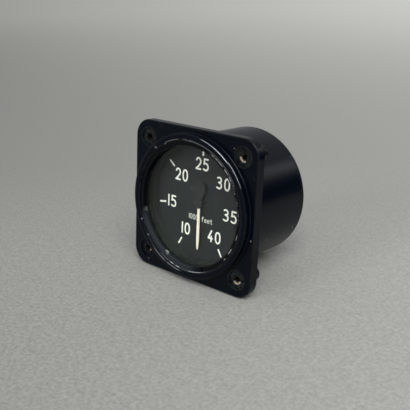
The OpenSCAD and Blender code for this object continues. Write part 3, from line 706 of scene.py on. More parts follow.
@dataclass(frozen=True)
class Speck:
    """Where one small spot lies, in millimetres, how far it reaches and how strongly it shows."""

    x: float
    y: float
    z: float
    reach: float
    share: float = 1.0

    def mask(self, sheet: SurfaceSheet) -> Socket:
        """Places the spot effect for this speck."""
        spot = sheet.mask(Spot, X=self.x, Y=self.y, Z=self.z, Reach=self.reach)
        return spot if self.share == 1.0 else sheet.both(spot, self.share)


# Finishes


@dataclass(frozen=True)
class Finish:
    """A named material, and the axis that its marks run round. Each kind of finish fills in draw."""

    name: str
    centre: Point = (0.0, 0.0)

    def material(self) -> bpy.types.Material:
        """Builds the material.

        Returns:
            The new material, with one Principled shader.
        """
        made = bpy.data.materials.new(self.name)
        made.use_nodes = True
        made.node_tree.nodes.clear()
        sheet = SurfaceSheet(made.node_tree, self.centre)
        surface = self.draw(sheet) or sheet.shader.outputs[0]
        sheet.node("ShaderNodeOutputMaterial", {"Surface": surface})
        return made

    def draw(self, sheet: SurfaceSheet) -> Socket | None:
        """Feeds the shader.

        Args:
            sheet: the material's node sheet.

        Returns:
            The surface's socket if it isn't the shader itself.
        """
        raise NotImplementedError


@dataclass(frozen=True)
class Enamel(Finish):
    """Black stoved enamel over metal, rubbed at its edges, chipped and dusty, with painted highlights,
    painted sheen and painted glints on the bezel's crown and lip.
    """

    colour: Colour = (0.0004, 0.0022, 0.0058)
    rubbed: Colour = (0.0014, 0.0036, 0.0076)
    bare_and_highlight: Colour = (0.36, 0.38, 0.40)
    smear: Colour = (0.045, 0.051, 0.042)
    dust: Colour = (0.10, 0.105, 0.10)
    # grey of the painted sheen lines on the lip and crown
    dust_and_sheen: Colour = (0.17, 0.19, 0.20)
    # colour of the painted glints: bright specks that stand in for highlights
    painted_glint: Colour = (0.92, 0.94, 0.96)
    roughness: float = 0.26
    shine: float = 0.12
    wear: float = 0.30
    dust_share: float = 0.10
    # painted highlight streaks of bare metal, painted sheen streaks and painted glints, laid where light
    # reflects on the crown and lip
    painted_highlight_streaks: tuple[Streak, ...] = ()
    painted_sheen_streaks: tuple[Streak, ...] = ()
    painted_glints: tuple[Streak, ...] = ()
    spots: tuple[Speck, ...] = ()
    dull_spots: tuple[Speck, ...] = ()

    def draw(self, sheet: SurfaceSheet) -> None:
        """Layers enamel, rubbing, smears, dust, bare chips, painted sheen, painted highlight streaks and
        painted glints.

        Args:
            sheet: the material's node sheet.
        """
        fine, drift = sheet.grain(3.2)
        wear = sheet.mask(EdgeWear, Amount=self.wear, Width=0.35)
        broad = sheet.mask(EdgeWear, Amount=0.62, Width=0.9, Patch_Scale=0.12)
        chips = sheet.mask(Chips, Scale=0.16, Size=0.09, Share=0.25)
        scratch = sheet.mask(Scratches, Scale=0.3, Share=0.38)
        dust = sheet.mask(Dust, Amount=self.dust_share)
        smear, rim = HoleSmear.put(sheet).values()
        # bare metal from edge wear and chips, plus the painted highlight streaks
        bare_and_highlight = sheet.either(sheet.both(wear, 0.9), chips,
                            *(mark.mask(sheet) for mark in (*self.painted_highlight_streaks, *self.spots)))
        layers = [
            (sheet.both(drift, 0.5), self.rubbed),
            (sheet.both(broad, 0.35), self.smear),
            (sheet.both(smear, 0.75), self.smear),
            (sheet.both(rim, 0.25), self.smear),
            (sheet.both(scratch, 0.3), self.smear),
            (dust, self.dust),
            # painted sheen: grey lines where the lip and crown reflect light
            *((sheet.both(streak.mask(sheet), 0.9), self.dust_and_sheen) for streak in self.painted_sheen_streaks),
            *((spot.mask(sheet), self.dust) for spot in self.dull_spots),
            (bare_and_highlight, self.bare_and_highlight),
        ]
        # painted glints: bright white specks where the lip catches highlights, kept out of the metal
        if self.painted_glints:
            painted_glint = sheet.either(*(streak.mask(sheet) for streak in self.painted_glints))
            layers.append((painted_glint, self.painted_glint))
            bare_and_highlight = sheet.both(bare_and_highlight, sheet.less(1.0, painted_glint))
        matt = sheet.both(sheet.either(smear, dust), 0.3)
        sheet.fill(sheet.less(fine, sheet.both(bare_and_highlight, 1.4)), depth=0.02,
                   Base_Color=sheet.layered(self.colour, layers),
                   Roughness=sheet.plus(sheet.around(fine, self.roughness, 0.06), matt),
                   Metallic=sheet.both(bare_and_highlight, 0.85), Specular_IOR_Level=self.shine)


@dataclass(frozen=True)
class WornRing(Finish):
    """Blackened ring whose inner edge has rubbed bright in dashes, laid where the edge shows highlights:
    partly wear, partly painted highlight.
    """

    colour: Colour = (0.0006, 0.0016, 0.0030)
    bare_and_highlight: Colour = (0.60, 0.61, 0.60)
    grime: Colour = (0.0045, 0.0065, 0.0070)
    verdigris: Colour = (0.26, 0.29, 0.24)
    dust_and_sheen: Colour = (0.026, 0.032, 0.038)
    streaks: tuple[Streak, ...] = ()
    dust_streaks: tuple[Streak, ...] = ()
    blotches: tuple[Speck, ...] = ()

    def draw(self, sheet: SurfaceSheet) -> None:
        """Rubs the inner edge bright in broken dashes, as wear and painted highlight, and leaves grime and
        pale blotches.

        Args:
            sheet: the material's node sheet.
        """
        marks = sheet.turned()
        flecks = sheet.mask(Chips, Scale=0.7, Size=0.11, Share=0.35)
        # bare metal dashes: worn edge, placed where the ring's edge shows highlights
        bare_and_highlight = sheet.either(*(streak.mask(sheet) for streak in self.streaks))
        layers = [
            (sheet.both(marks, 0.4), self.grime),
            (sheet.mask(Dust, Amount=0.5, Scale=1.2), self.grime),
            *((streak.mask(sheet), self.dust_and_sheen) for streak in self.dust_streaks),
            (sheet.both(flecks, 0.6), self.verdigris),
            *((blotch.mask(sheet), self.verdigris) for blotch in self.blotches),
            (bare_and_highlight, self.bare_and_highlight),
        ]
        sheet.fill(marks, depth=0.01, Base_Color=sheet.layered(self.colour, layers),
                   Roughness=sheet.spread(marks, 0.30, 0.50), Metallic=bare_and_highlight, Specular_IOR_Level=0.10)


class Marks(Enum):
    """How a metal part's surface was made."""

    TURNED = "turned"
    BRUSHED = "brushed"


@dataclass(frozen=True)
class Metal(Finish):
    """Bare or thinly coated metal with tool marks, tarnish and bright edges."""

    colour: Colour = (0.55, 0.42, 0.20)
    tarnish: Colour = (0.20, 0.13, 0.06)
    roughness: float = 0.34
    tarnish_share: float = 0.5
    marks: Marks = Marks.TURNED
    mark_scale: float = 6.0
    relief: float = 0.006

    def draw(self, sheet: SurfaceSheet) -> None:
        """Layers metal, tarnish in broad patches, tool marks and rubbed edges.

        Args:
            sheet: the material's node sheet.
        """
        _, drift = sheet.grain(5.0, 0.22)
        tool = sheet.turned if self.marks is Marks.TURNED else sheet.brushed
        marks = tool(self.mark_scale)
        bright = sheet.mask(EdgeWear, Width=0.2, Amount=0.75)
        dull = sheet.both(sheet.less(1.0, bright), sheet.both(drift, self.tarnish_share))
        shaded = sheet.plus(dull, sheet.around(marks, 0.0, 0.12))
        rough = sheet.spread(marks, self.roughness - 0.08, self.roughness + 0.12)
        sheet.fill(marks, depth=self.relief, Metallic=1.0,
                   Base_Color=sheet.blend(shaded, self.colour, self.tarnish),
                   Roughness=sheet.plus(rough, sheet.both(dull, 0.15)))


@dataclass(frozen=True)
class PaintedInsert(Finish):
    """Brass insert that was painted over with the case: brass shows only where screws have rubbed it, and
    bright brass spots stand in for highlights in the bores.
    """

    paint: Colour = (0.0016, 0.0022, 0.0026)
    brass: Colour = (0.80, 0.70, 0.56)
    tarnish: Colour = (0.10, 0.075, 0.045)
    rubbed_highlight_places: tuple[Speck, ...] = ()

    def draw(self, sheet: SurfaceSheet) -> None:
        """Keeps brass round the mouth of the bore, in patches, blackens the rest, and brightens the listed
        spots as painted highlights.

        Args:
            sheet: the material's node sheet.
        """
        away = HoleDistance.put(sheet)["Away"]
        fine, _ = sheet.grain(2.2, 0.5)
        mouth = sheet.both(sheet.rise(away, 2.6, 1.8), sheet.rise(sheet.place["Depth"], 4.0, 1.4))
        patch = sheet.rise(sheet.noise(sheet.here, 0.75, detail=4.0, roughness=0.75), 0.50, 0.66)
        wear = sheet.mask(EdgeWear, Width=0.25, Amount=0.42)
        dull = sheet.both(mouth, sheet.either(sheet.both(patch, 0.6), wear))
        # rubbed brass, bright where the bores show highlights: partly wear, partly painted highlight
        rubbed_highlight = sheet.either(*(spot.mask(sheet) for spot in self.rubbed_highlight_places))
        shown = sheet.either(dull, rubbed_highlight)
        metal = sheet.blend(rubbed_highlight, self.tarnish, self.brass)
        sheet.fill(fine, depth=0.02, Base_Color=sheet.blend(shown, self.paint, metal),
                   Metallic=sheet.both(shown, 0.9), Roughness=sheet.spread(fine, 0.25, 0.5),
                   Specular_IOR_Level=0.2)


@dataclass(frozen=True)
class Bimetal(Finish):
    """Two bonded strips: copper-coloured above and pale steel below."""

    copper: Colour = (0.52, 0.27, 0.15)
    steel: Colour = (0.46, 0.45, 0.43)

    def draw(self, sheet: SurfaceSheet) -> None:
        """Splits the two metals by the face's own direction.

        Args:
            sheet: the material's node sheet.
        """
        fine, _ = sheet.grain(4.0)
        marks = sheet.brushed(4.0)
        side = sheet.rise(sheet.plus(sheet.facing()[1], sheet.around(fine, 0.0, 0.1)), -0.1, 0.1)
        sheet.fill(marks, depth=0.006, Base_Color=sheet.blend(side, self.copper, self.steel),
                   Roughness=sheet.spread(marks, 0.25, 0.5), Metallic=1.0)


@dataclass(frozen=True)
class Paint(Finish):
    """Matt instrument paint with fine grain, faint drift and rubbed edges."""

    colour: Colour = (0.03, 0.036, 0.034)
    drift: Colour = (0.045, 0.052, 0.046)
    worn: Colour = (0.2, 0.19, 0.16)
    drift_share: float = 0.5
    roughness: float = 0.6
    shine: float = 0.3
    wear: float = 0.3
    dust_share: float = 0.3
    grain_scale: float = 5.0

    def draw(self, sheet: SurfaceSheet) -> None:
        """Layers paint, drift, rubbing and dust.

        Args:
            sheet: the material's node sheet.
        """
        fine, drift = sheet.grain(self.grain_scale, 0.12)
        wear = sheet.mask(EdgeWear, Width=0.15, Amount=self.wear)
        dust = sheet.mask(Dust, Amount=self.dust_share)
        tone = sheet.plus(sheet.both(drift, self.drift_share), sheet.around(fine, 0.0, 0.2))
        layers = [(tone, self.drift), (sheet.either(sheet.both(wear, 0.6), dust), self.worn)]
        sheet.fill(fine, depth=0.012, Base_Color=sheet.layered(self.colour, layers),
                   Roughness=sheet.around(fine, self.roughness, 0.1), Specular_IOR_Level=self.shine)


@dataclass(frozen=True)
class BladePaint(Paint):
    """Cream paint on the pointer's blade, with the middle left black."""

    middle: Colour = (0.005, 0.007, 0.007)
    middle_radius: float = 2.45

    def draw(self, sheet: SurfaceSheet) -> None:
        """Layers cream paint over the black middle, with grain, drift and rubbed edges.

        Args:
            sheet: the material's node sheet.
        """
        fine, drift = sheet.grain(self.grain_scale, 0.12)
        wear = sheet.mask(EdgeWear, Width=0.12, Amount=self.wear)
        blade = sheet.rise(sheet.place["Radius"], self.middle_radius - 0.1, self.middle_radius + 0.1)
        front = sheet.rise(sheet.facing()[1], 0.6, 0.2)
        layers = [(sheet.both(drift, self.drift_share), self.drift), (sheet.both(wear, 0.7), self.worn)]
        cream = sheet.layered(self.colour, layers)
        sheet.fill(fine, depth=0.01, Base_Color=sheet.blend(sheet.both(blade, front), self.middle, cream),
                   Roughness=sheet.spread(fine, 0.5, 0.7), Specular_IOR_Level=self.shine)


@dataclass(frozen=True)
class DialPaint(Paint):
    """Matt dial paint, mottled with age, with one small pale spot."""

    pale: Colour = (0.10, 0.11, 0.10)
    spot: Speck = Speck(-6.9, front_of("dial_plate"), 6.6, 0.8, 0.5)

    def draw(self, sheet: SurfaceSheet) -> None:
        """Layers paint, mottling, rings of dust at the rim and the pale spot.

        Args:
            sheet: the material's node sheet.
        """
        fine, drift = sheet.grain(self.grain_scale, 0.09)
        mottle = sheet.rise(sheet.noise(sheet.here, 0.5, detail=4.0, roughness=0.7), 0.35, 0.7)
        rim = sheet.both(sheet.rise(sheet.place["Radius"], 27.0, 31.0), mottle)
        specks = sheet.mask(Chips, Scale=0.3, Size=0.06, Share=0.3)
        layers = [
            (sheet.plus(sheet.both(drift, 0.40), sheet.both(mottle, 0.35)), self.drift),
            (sheet.both(rim, 0.4), self.drift),
            (sheet.either(self.spot.mask(sheet), sheet.both(specks, 0.25)), self.pale),
        ]
        sheet.fill(fine, depth=0.012, Base_Color=sheet.layered(self.colour, layers),
                   Roughness=sheet.spread(fine, 0.5, 0.75), Specular_IOR_Level=self.shine)


@dataclass(frozen=True)
class SteppedWall(Finish):
    """Dark stepped wall behind the glass, dusty and faintly green, with a painted shade line under each step.
    """

    colour: Colour = (0.0002, 0.0009, 0.0010)
    mould: Colour = (0.0245, 0.0395, 0.0310)
    fleck: Colour = (0.075, 0.095, 0.070)
    first_step: float = front_of("dial_ring")
    step: float = 1.75

    def draw(self, sheet: SurfaceSheet) -> None:
        """Layers paint, green mottling, pale flecks and the painted shade lines under the steps.

        Args:
            sheet: the material's node sheet.
        """
        fine, drift = sheet.grain(2.5, 0.2)
        mottle = sheet.rise(sheet.noise(sheet.here, 0.5, detail=4.0, roughness=0.75), 0.42, 0.62)
        flecks = sheet.mask(Chips, Scale=0.45, Size=0.2, Share=0.4)
        foot = sheet.spread(sheet.rise(sheet.parts(sheet.here)[2], 4.0, -26.0), 0.25, 1.0)
        fell = sheet.sum("WRAP", sheet.less(sheet.place["Depth"], self.first_step), self.step, 0.0)
        aged = sheet.both(sheet.either(sheet.both(mottle, 0.8), sheet.both(drift, 0.35)), foot)
        layers = [
            (aged, self.mould),
            (sheet.both(flecks, 0.55), self.fleck),
            # painted shade: a dark line under each step
            (sheet.both(sheet.rise(fell, 0.55, 0.2), 0.8), self.colour),
        ]
        sheet.fill(fine, depth=0.02, Base_Color=sheet.layered(self.colour, layers),
                   Roughness=sheet.spread(fine, 0.5, 0.8), Specular_IOR_Level=0.3)


@dataclass(frozen=True)
class Rubber(Finish):
    """Aged black rubber or fibre, pale in its pores."""

    colour: Colour = (0.012, 0.012, 0.012)
    pore: Colour = (0.05, 0.048, 0.045)
    roughness: float = 0.75

    def draw(self, sheet: SurfaceSheet) -> None:
        """Layers rubber, pores and dust.

        Args:
            sheet: the material's node sheet.
        """
        fine, drift = sheet.grain(7.0, 0.3)
        tone = sheet.either(sheet.mask(Dust, Amount=0.4), sheet.rise(fine, 0.55, 0.8))
        sheet.fill(fine, depth=0.02, Base_Color=sheet.blend(tone, self.colour, self.pore),
                   Roughness=sheet.around(drift, self.roughness, 0.1), Specular_IOR_Level=0.3)


@dataclass(frozen=True)
class Glass(Finish):
    """Clear cover glass with a faint haze of fine wiping marks."""

    tint: Colour = (0.96, 0.98, 0.97)
    clear: Colour = (0.97, 0.98, 0.975)
    bend: float = 1.30

    def draw(self, sheet: SurfaceSheet) -> Socket:
        """Sets plain glass, roughened in fine marks, that lets the lamps' light through.

        Args:
            sheet: the material's node sheet.

        Returns:
            The socket of the glass that gives no shadow.
        """
        scratch = sheet.mask(Scratches, Scale=0.35, Share=0.4)
        fine, drift = sheet.grain(0.8, 0.07)
        sheet.fill(fine, depth=0.0006, Base_Color=self.tint, Transmission_Weight=1.0, IOR=self.bend,
                   Roughness=sheet.plus(sheet.spread(drift, 0.0, 0.02), sheet.both(scratch, 0.08)))
        clear = sheet.node("ShaderNodeBsdfTransparent", {0: self.clear})
        light = sheet.node("ShaderNodeLightPath").outputs["Is Shadow Ray"]
        feeds = {0: light, 1: sheet.shader.outputs[0], 2: clear.outputs[0]}
        return sheet.node("ShaderNodeMixShader", feeds).outputs[0]


@dataclass(frozen=True)
class StudioPaper(Finish):
    """Pale grey background paper, with painted light that makes it a little paler towards the back and the
    right.
    """

    shade: Colour = (0.19, 0.19, 0.175)
    pale: Colour = (0.62, 0.62, 0.585)
    back_way: Point = (-0.6393, 0.7689)

    def draw(self, sheet: SurfaceSheet) -> None:
        """Paints light and shade across the floor as a drift of the paper's tone, with soft flecks and a fine
        tooth.

        Args:
            sheet: the material's node sheet.
        """
        fine, _ = sheet.grain(0.55, 0.01)
        x, y, _ = sheet.parts(sheet.here)
        across, along = self.back_way
        back = sheet.plus(sheet.both(x, across), sheet.both(y, along))
        right = sheet.less(sheet.both(x, along), sheet.both(y, across))
        reach = sheet.plus(sheet.both(sheet.either(back, -150.0), 0.291), 110.0)
        side = sheet.sum("MINIMUM", sheet.either(sheet.over(right, reach), -1.0), 1.2)
        # painted light and shade: a little darker just behind the object, paler further back and towards the
        # right
        far, middle = sheet.rise(back, 250.0, 1500.0), sheet.rise(back, -30.0, 220.0)
        level = sheet.plus(sheet.spread(far, 0.387, 0.540), sheet.spread(middle, 0.0, -0.060))
        slope = sheet.spread(sheet.rise(back, 100.0, 1100.0), 0.045, 0.135)
        light = sheet.plus(level, sheet.both(side, slope))
        near = sheet.rise(back, 260.0, -60.0)
        grit = sheet.both(sheet.less(fine, 0.5), sheet.spread(near, 0.05, 0.30))
        cloud = sheet.less(sheet.noise(sheet.here, 0.2, detail=3.0, roughness=0.6), 0.5)
        fleck = sheet.plus(grit, sheet.both(cloud, sheet.spread(near, 0.02, 0.10)))
        low, high = self.shade[1], self.pale[1]
        tone = sheet.over(sheet.less(sheet.plus(light, fleck), low), high - low)
        sheet.fill(fine, depth=0.05, Base_Color=sheet.blend(tone, self.shade, self.pale),
                   Roughness=0.95, Specular_IOR_Level=0.1)


# Meshes


class MeshBench:
    """Makes closed meshes in the frame's millimetres."""

    @staticmethod
    def piece(name: str, skin: Skin, smooth: bool = False) -> bpy.types.Object:
        """Makes one piece.

        Args:
            name: the piece's name.
            skin: its points in millimetres, and its faces as numbers of the points.
            smooth: True for a rounded look between the faces.

        Returns:
            The new object, in the scene.
        """
        corners, faces = skin
        mesh = bpy.data.meshes.new(name)
        mesh.from_pydata([tuple(corner * MM) for corner in corners], [], faces)
        work = bmesh.new()
        work.from_mesh(mesh)
        bmesh.ops.recalc_face_normals(work, faces=work.faces)
        for face in work.faces:
            face.smooth = smooth
        work.to_mesh(mesh)
        work.free()
        return MeshBench.placed(name, mesh)

    @staticmethod
    def placed(name: str, data: bpy.types.ID) -> bpy.types.Object:
        """Puts a mesh, lamp or camera into the scene.

        Args:
            name: the object's name.
            data: what the object shows.

        Returns:
            The new object.
        """
        made = bpy.data.objects.new(name, data)
        bpy.context.scene.collection.objects.link(made)
        return made

    @staticmethod
    def loft(rings: list[list[Vector]], closed: bool = False) -> Skin:
        """Joins rings of points into a closed skin.

        Args:
            rings: rings with the same number of points each.
            closed: True if the last ring joins the first one again.

        Returns:
            The points and faces.
        """
        count = len(rings[0])
        corners = [corner for ring in rings for corner in ring]
        faces: list[tuple[int, ...]] = []
        for row in range(len(rings) if closed else len(rings) - 1):
            here, there = row * count, (row + 1) % len(rings) * count
            for k in range(count):
                n = (k + 1) % count
                faces.append((here + k, here + n, there + n, there + k))
        if not closed:
            last = len(corners) - count
            faces += [tuple(range(start, start + count)) for start in (0, last)]
        return corners, faces


@dataclass(frozen=True)
class InnerThread:
    """An inner screw thread: one ridge that winds along a bore and fades out at both ends."""

    centre: Point
    bore: float
    span: Point
    pitch: float
    height: float
    steps_per_turn: ClassVar[int] = 20
    fade_steps: ClassVar[int] = 6
    thinnest: ClassVar[float] = 0.1
    sunk: ClassVar[float] = 0.05
    foot: ClassVar[float] = 0.4
    crest: ClassVar[float] = 0.08

    def build(self, name: str) -> bpy.types.Object:
        """Winds the ridge.

        Args:
            name: the piece's name.

        Returns:
            The thread's object.
        """
        start, end = self.span
        count = round(((end - start) / self.pitch - 1) * self.steps_per_turn)
        rings = []
        for step in range(count + 1):
            angle = 2 * math.pi * step / self.steps_per_turn
            fade = min(1.0, step / self.fade_steps, (count - step) / self.fade_steps)
            high = self.height * (fade * (1 - self.thinnest) + self.thinnest)
            along = start + self.pitch / 2 + self.pitch * step / self.steps_per_turn
            ring = []
            for inward, offset in ((-self.sunk, -self.foot), (high, -self.crest), (high, self.crest),
                                   (-self.sunk, self.foot)):
                radius = self.bore - inward
                ring.append(Vector((self.centre[0] + radius * math.sin(angle), along + offset * self.pitch,
                                    self.centre[1] + radius * math.cos(angle))))
            rings.append(ring)
        return MeshBench.piece(name, MeshBench.loft(rings), smooth=True)


@dataclass(frozen=True)
class Stroke:
    """One painted stroke of a digit or letter, on a box one wide and one high."""

    points: tuple[Point, ...]
    curved: bool = False
    loop: bool = False


def curve(*points: Point) -> Stroke:
    """Gives a stroke that bends smoothly through its points."""
    return Stroke(points, curved=True)


def straight(*points: Point) -> Stroke:
    """Gives a stroke of straight stretches."""
    return Stroke(points)


def oval(count: int = 16, squareness: float = 0.86) -> Stroke:
    """Gives the tall round loop of a nought.

    Args:
        count: how many points it has.
        squareness: 1 for an ellipse, and less for fuller corners.

    Returns:
        The closed stroke.
    """
    def side(value: float) -> float:
        """Places a sine or cosine on the box."""
        return 0.5 + 0.5 * math.copysign(abs(value) ** squareness, value)

    turns = [2 * math.pi * k / count for k in range(count)]
    points = tuple((side(math.cos(turn)), side(math.sin(turn))) for turn in turns)
    return Stroke(points, curved=True, loop=True)


GLYPHS: dict[str, tuple[Stroke, ...]] = {
    "0": (oval(),),
    "1": (straight((0.5, 0.0), (0.5, 1.0)),),
    "2": (curve((0.06, 0.80), (0.2, 0.94), (0.5, 1.0), (0.84, 0.92), (1.0, 0.73), (0.93, 0.56),
                (0.70, 0.37), (0.35, 0.17), (0.0, 0.0)),
          straight((0.0, 0.0), (1.0, 0.0))),
    "3": (curve((0.1, 0.93), (0.45, 1.0), (0.8, 0.91), (0.88, 0.75), (0.75, 0.6), (0.35, 0.54)),
          curve((0.35, 0.54), (0.8, 0.46), (0.97, 0.27), (0.83, 0.08), (0.45, 0.0), (0.0, 0.06))),
    "4": (straight((0.75, 1.0), (0.05, 0.28)), straight((0.05, 0.28), (0.97, 0.27)),
          straight((0.72, 0.48), (0.72, 0.0))),
    "5": (straight((0.12, 1.0), (0.92, 1.0)), straight((0.12, 1.0), (0.08, 0.56)),
          curve((0.08, 0.56), (0.45, 0.63), (0.85, 0.53), (1.0, 0.31), (0.85, 0.08), (0.45, 0.0),
                (0.0, 0.08))),
    "f": (curve((0.95, 0.97), (0.62, 0.99), (0.42, 0.84), (0.4, 0.6), (0.4, 0.0)),
          straight((0.05, 0.64), (0.85, 0.64))),
    "e": (curve((0.1, 0.34), (0.95, 0.36), (0.86, 0.58), (0.5, 0.68), (0.12, 0.55), (0.02, 0.33),
                (0.14, 0.09), (0.5, 0.0), (0.92, 0.1)),),
    "t": (curve((0.35, 0.95), (0.35, 0.18), (0.5, 0.03), (0.9, 0.05)), straight((0.0, 0.66), (0.8, 0.66))),
}


@dataclass(frozen=True)
class Lettering:
    """Sizes of one kind of lettering, in millimetres."""

    height: float
    width: float
    stroke: float
    gap: float
    narrow: str = "1"

    def advance(self, letter: str) -> float:
        """Gives a letter's full width."""
        return self.stroke if letter in self.narrow else self.width

    def length(self, word: str) -> float:
        """Gives a word's full width."""
        return sum(self.advance(letter) for letter in word) + self.gap * (len(word) - 1)


@dataclass
class Brush:
    """Lays raised strokes of paint on the dial's front face."""

    face: float
    proud: float = 0.05
    sunk: float = 0.04
    step: float = 0.002
    samples: int = 5
    cap_turns: tuple[float, ...] = (80.0, 60.0, 30.0)

    def path(self, stroke: Stroke) -> list[Vector]:
        """Gives a stroke's centre line with smooth bends.

        Args:
            stroke: the stroke, in the units that its points are given in.

        Returns:
            Points along the line.
        """
        points = [Vector(point) for point in stroke.points]
        if not stroke.curved:
            return points
        count = len(points)
        made = []
        for k in range(count if stroke.loop else count - 1):
            near = [k + shift for shift in (-1, 0, 1, 2)]
            a, b, c, d = (points[n % count if stroke.loop else min(max(n, 0), count - 1)] for n in near)
            for t in (sample / self.samples for sample in range(self.samples)):
                made.append(0.5 * (2 * b + (c - a) * t + (2 * a - 5 * b + 4 * c - d) * t * t
                                   + (3 * b - a - 3 * c + d) * t ** 3))
        if not stroke.loop:
            made.append(points[-1])
        return made

    def slab(self, spots: list[Vector], width: float, loop: bool, round_ends: bool, layer: int) -> Skin:
        """Makes one stroke's closed slab.

        Args:
            spots: its centre line on the dial, in millimetres.
            width: the stroke's width.
            loop: True if the line closes on itself.
            round_ends: True for round ends, False for square ones.
            layer: its number in the letter, which sets it a hair higher than the last.

        Returns:
            The slab's points and faces.
        """
        half, count = width / 2, len(spots)
        rows = []
        for k, spot in enumerate(spots):
            before = spots[k - 1] if k or loop else spot
            after = spots[(k + 1) % count] if k < count - 1 or loop else spot
            rows.append((spot, (after - before).normalized(), half))
        if round_ends and not loop:
            start, end = rows[0], rows[-1]
            for turn in reversed(self.cap_turns):
                out, wide = half * math.sin(math.radians(turn)), half * math.cos(math.radians(turn))
                rows.insert(0, (start[0] - start[1] * out, start[1], wide))
                rows.append((end[0] + end[1] * out, end[1], wide))
        front, back = self.face - self.proud - layer * self.step, self.face + self.sunk
        rings = []
        for spot, along, wide in rows:
            side = Vector((-along.y, along.x)) * wide
            rings.append([Vector(((spot + side * way).x, depth, (spot + side * way).y))
                          for way, depth in ((1, front), (-1, front), (-1, back), (1, back))])
        return MeshBench.loft(rings, closed=loop)

    def join(self, name: str, slabs: list[Skin]) -> bpy.types.Object:
        """Joins slabs into one piece.

        Args:
            name: the piece's name.
            slabs: points and faces of each slab.

        Returns:
            The new object.
        """
        corners: list[Vector] = []
        faces: list[tuple[int, ...]] = []
        for points, sides in slabs:
            faces += [tuple(len(corners) + k for k in side) for side in sides]
            corners += points
        return MeshBench.piece(name, (corners, faces))

    def word(self, name: str, word: str, style: Lettering, centre: Vector) -> bpy.types.Object:
        """Paints a word or number.

        Args:
            name: the piece's name.
            word: its letters, with a blank for a space.
            style: the lettering's sizes.
            centre: the middle of the word on the dial.

        Returns:
            The new object.
        """
        pen = centre.x - style.length(word) / 2
        foot = centre.y - style.height / 2 + style.stroke / 2
        tall = style.height - style.stroke
        slabs: list[Skin] = []
        for letter in word:
            wide = style.advance(letter) - style.stroke
            for stroke in GLYPHS.get(letter, ()):
                spots = [Vector((pen + style.stroke / 2 + p.x * wide, foot + p.y * tall))
                         for p in self.path(stroke)]
                slabs.append(self.slab(spots, style.stroke, stroke.loop, round_ends=True, layer=len(slabs)))
            pen += style.advance(letter) + style.gap
        return self.join(name, slabs)


def on_dial(radius: float, angle: float) -> Vector:
    """Gives the x and z of a point, by its radius in millimetres and its degrees clockwise from the top."""
    turn = math.radians(angle)
    return Vector((radius * math.sin(turn), radius * math.cos(turn)))


# Finishes that more than one place uses

ENAMEL = Enamel(
    "black_enamel",
    # each streak: radius, depth, width, middle, span, dash, share
    # painted sheen lines on the lip and crown
    painted_sheen_streaks=(Streak(34.5, -3.3, 0.6, 28.0, 36.0, 0.06, 0.82),
                  Streak(35.2, -3.8, 0.25, 346.0, 22.0, 0.06, 0.55),
                  Streak(35.6, -3.85, 0.28, 202.0, 20.0, 0.12, 0.58)),
    # painted highlights: bare-metal streaks on the bezel's crown and lip
    painted_highlight_streaks=(Streak(34.35, -3.15, 0.36, 181.0, 32.0, 0.35, 0.55),
                    Streak(35.8, -3.87, 0.16, 202.0, 17.0, 0.2, 0.50),
                    Streak(37.55, -3.82, 0.22, 27.0, 17.0, 0.05, 0.78),
                    Streak(37.97, -3.45, 0.24, 52.0, 12.0, 0.05, 0.78)),
    # painted glints along the lower lip
    painted_glints=(Streak(34.4, -3.2, 0.24, 196.0, 2.2, 0.5, 0.80),
            Streak(34.4, -3.2, 0.24, 188.8, 2.6, 0.5, 0.70),
            Streak(34.35, -3.15, 0.34, 168.0, 9.0, 0.42, 0.56),
            Streak(34.3, -3.1, 0.32, 154.0, 9.0, 0.42, 0.53)),
    # each speck: x, y, z, reach, share
    spots=(Speck(-16.3, -3.4, 30.55, 0.5), Speck(-27.2, -3.5, -21.5, 0.45), Speck(-31.5, -3.1, -13.2, 0.45),
           Speck(-32.3, -3.6, -13.7, 0.4), Speck(-30.6, -3.1, -15.7, 0.3)),
    dull_spots=(Speck(-22.5, -3.95, 27.75, 0.9),),
)
COVER_ENAMEL = Enamel("black_cover_enamel", wear=0.38, roughness=0.34)
INSERT = PaintedInsert(
    "painted_insert_brass",
    # rubbed brass spots where the bores show highlights: partly wear, partly painted highlight
    rubbed_highlight_places=(Speck(29.6, 0.8, 30.6, 1.1), Speck(30.4, 0.8, 29.3, 1.1), Speck(32.0, 0.8, 29.1, 0.8),
                   Speck(29.9, 1.6, 32.4, 0.7), Speck(30.4, 0.8, -33.4, 1.2), Speck(31.9, 0.8, -33.6, 1.2),
                   Speck(33.3, 0.8, -32.6, 0.8), Speck(29.6, 1.4, -30.8, 0.6), Speck(-29.2, 0.8, -32.2, 0.6)),
)
BRASS = Metal("turned_brass", colour=(0.58, 0.43, 0.19))
PLATE = Metal("brushed_plate_brass", colour=(0.55, 0.41, 0.19), marks=Marks.BRUSHED, tarnish_share=0.4)
STEEL = Metal("turned_steel", colour=(0.50, 0.50, 0.49), tarnish=(0.22, 0.20, 0.18), roughness=0.28)
BLACK_STEEL = Metal("blackened_screw_steel", colour=(0.09, 0.09, 0.095), tarnish=(0.03, 0.028, 0.026),
                    roughness=0.4)


# Sub-assemblies


@dataclass
class Assembly:
    """A group of CAD nodes and added pieces that are dressed together."""

    title: ClassVar[str] = ""

    def build(self) -> Dressed:
        """Makes the added pieces, and gives each one with its finish."""
        return []

    def coats(self) -> Coats:
        """Says which CAD nodes take which finish."""
        return {}

    def dress(self) -> None:
        """Builds the finishes and puts them on the pieces and the CAD nodes."""
        coat = cache(Finish.material)
        for finish, nodes in self.coats().items():
            for node in nodes:
                for holder in frame["nodes"][node].material_slots:
                    holder.material = coat(finish)
                log.info("%s: %s wears %s", self.title, node, finish.name)
        for piece, finish in self.build():
            piece.data.materials.append(coat(finish))
            faces = len(piece.data.polygons)
            log.info("%s: %s made with %d faces, wears %s", self.title, piece.name, faces, finish.name)


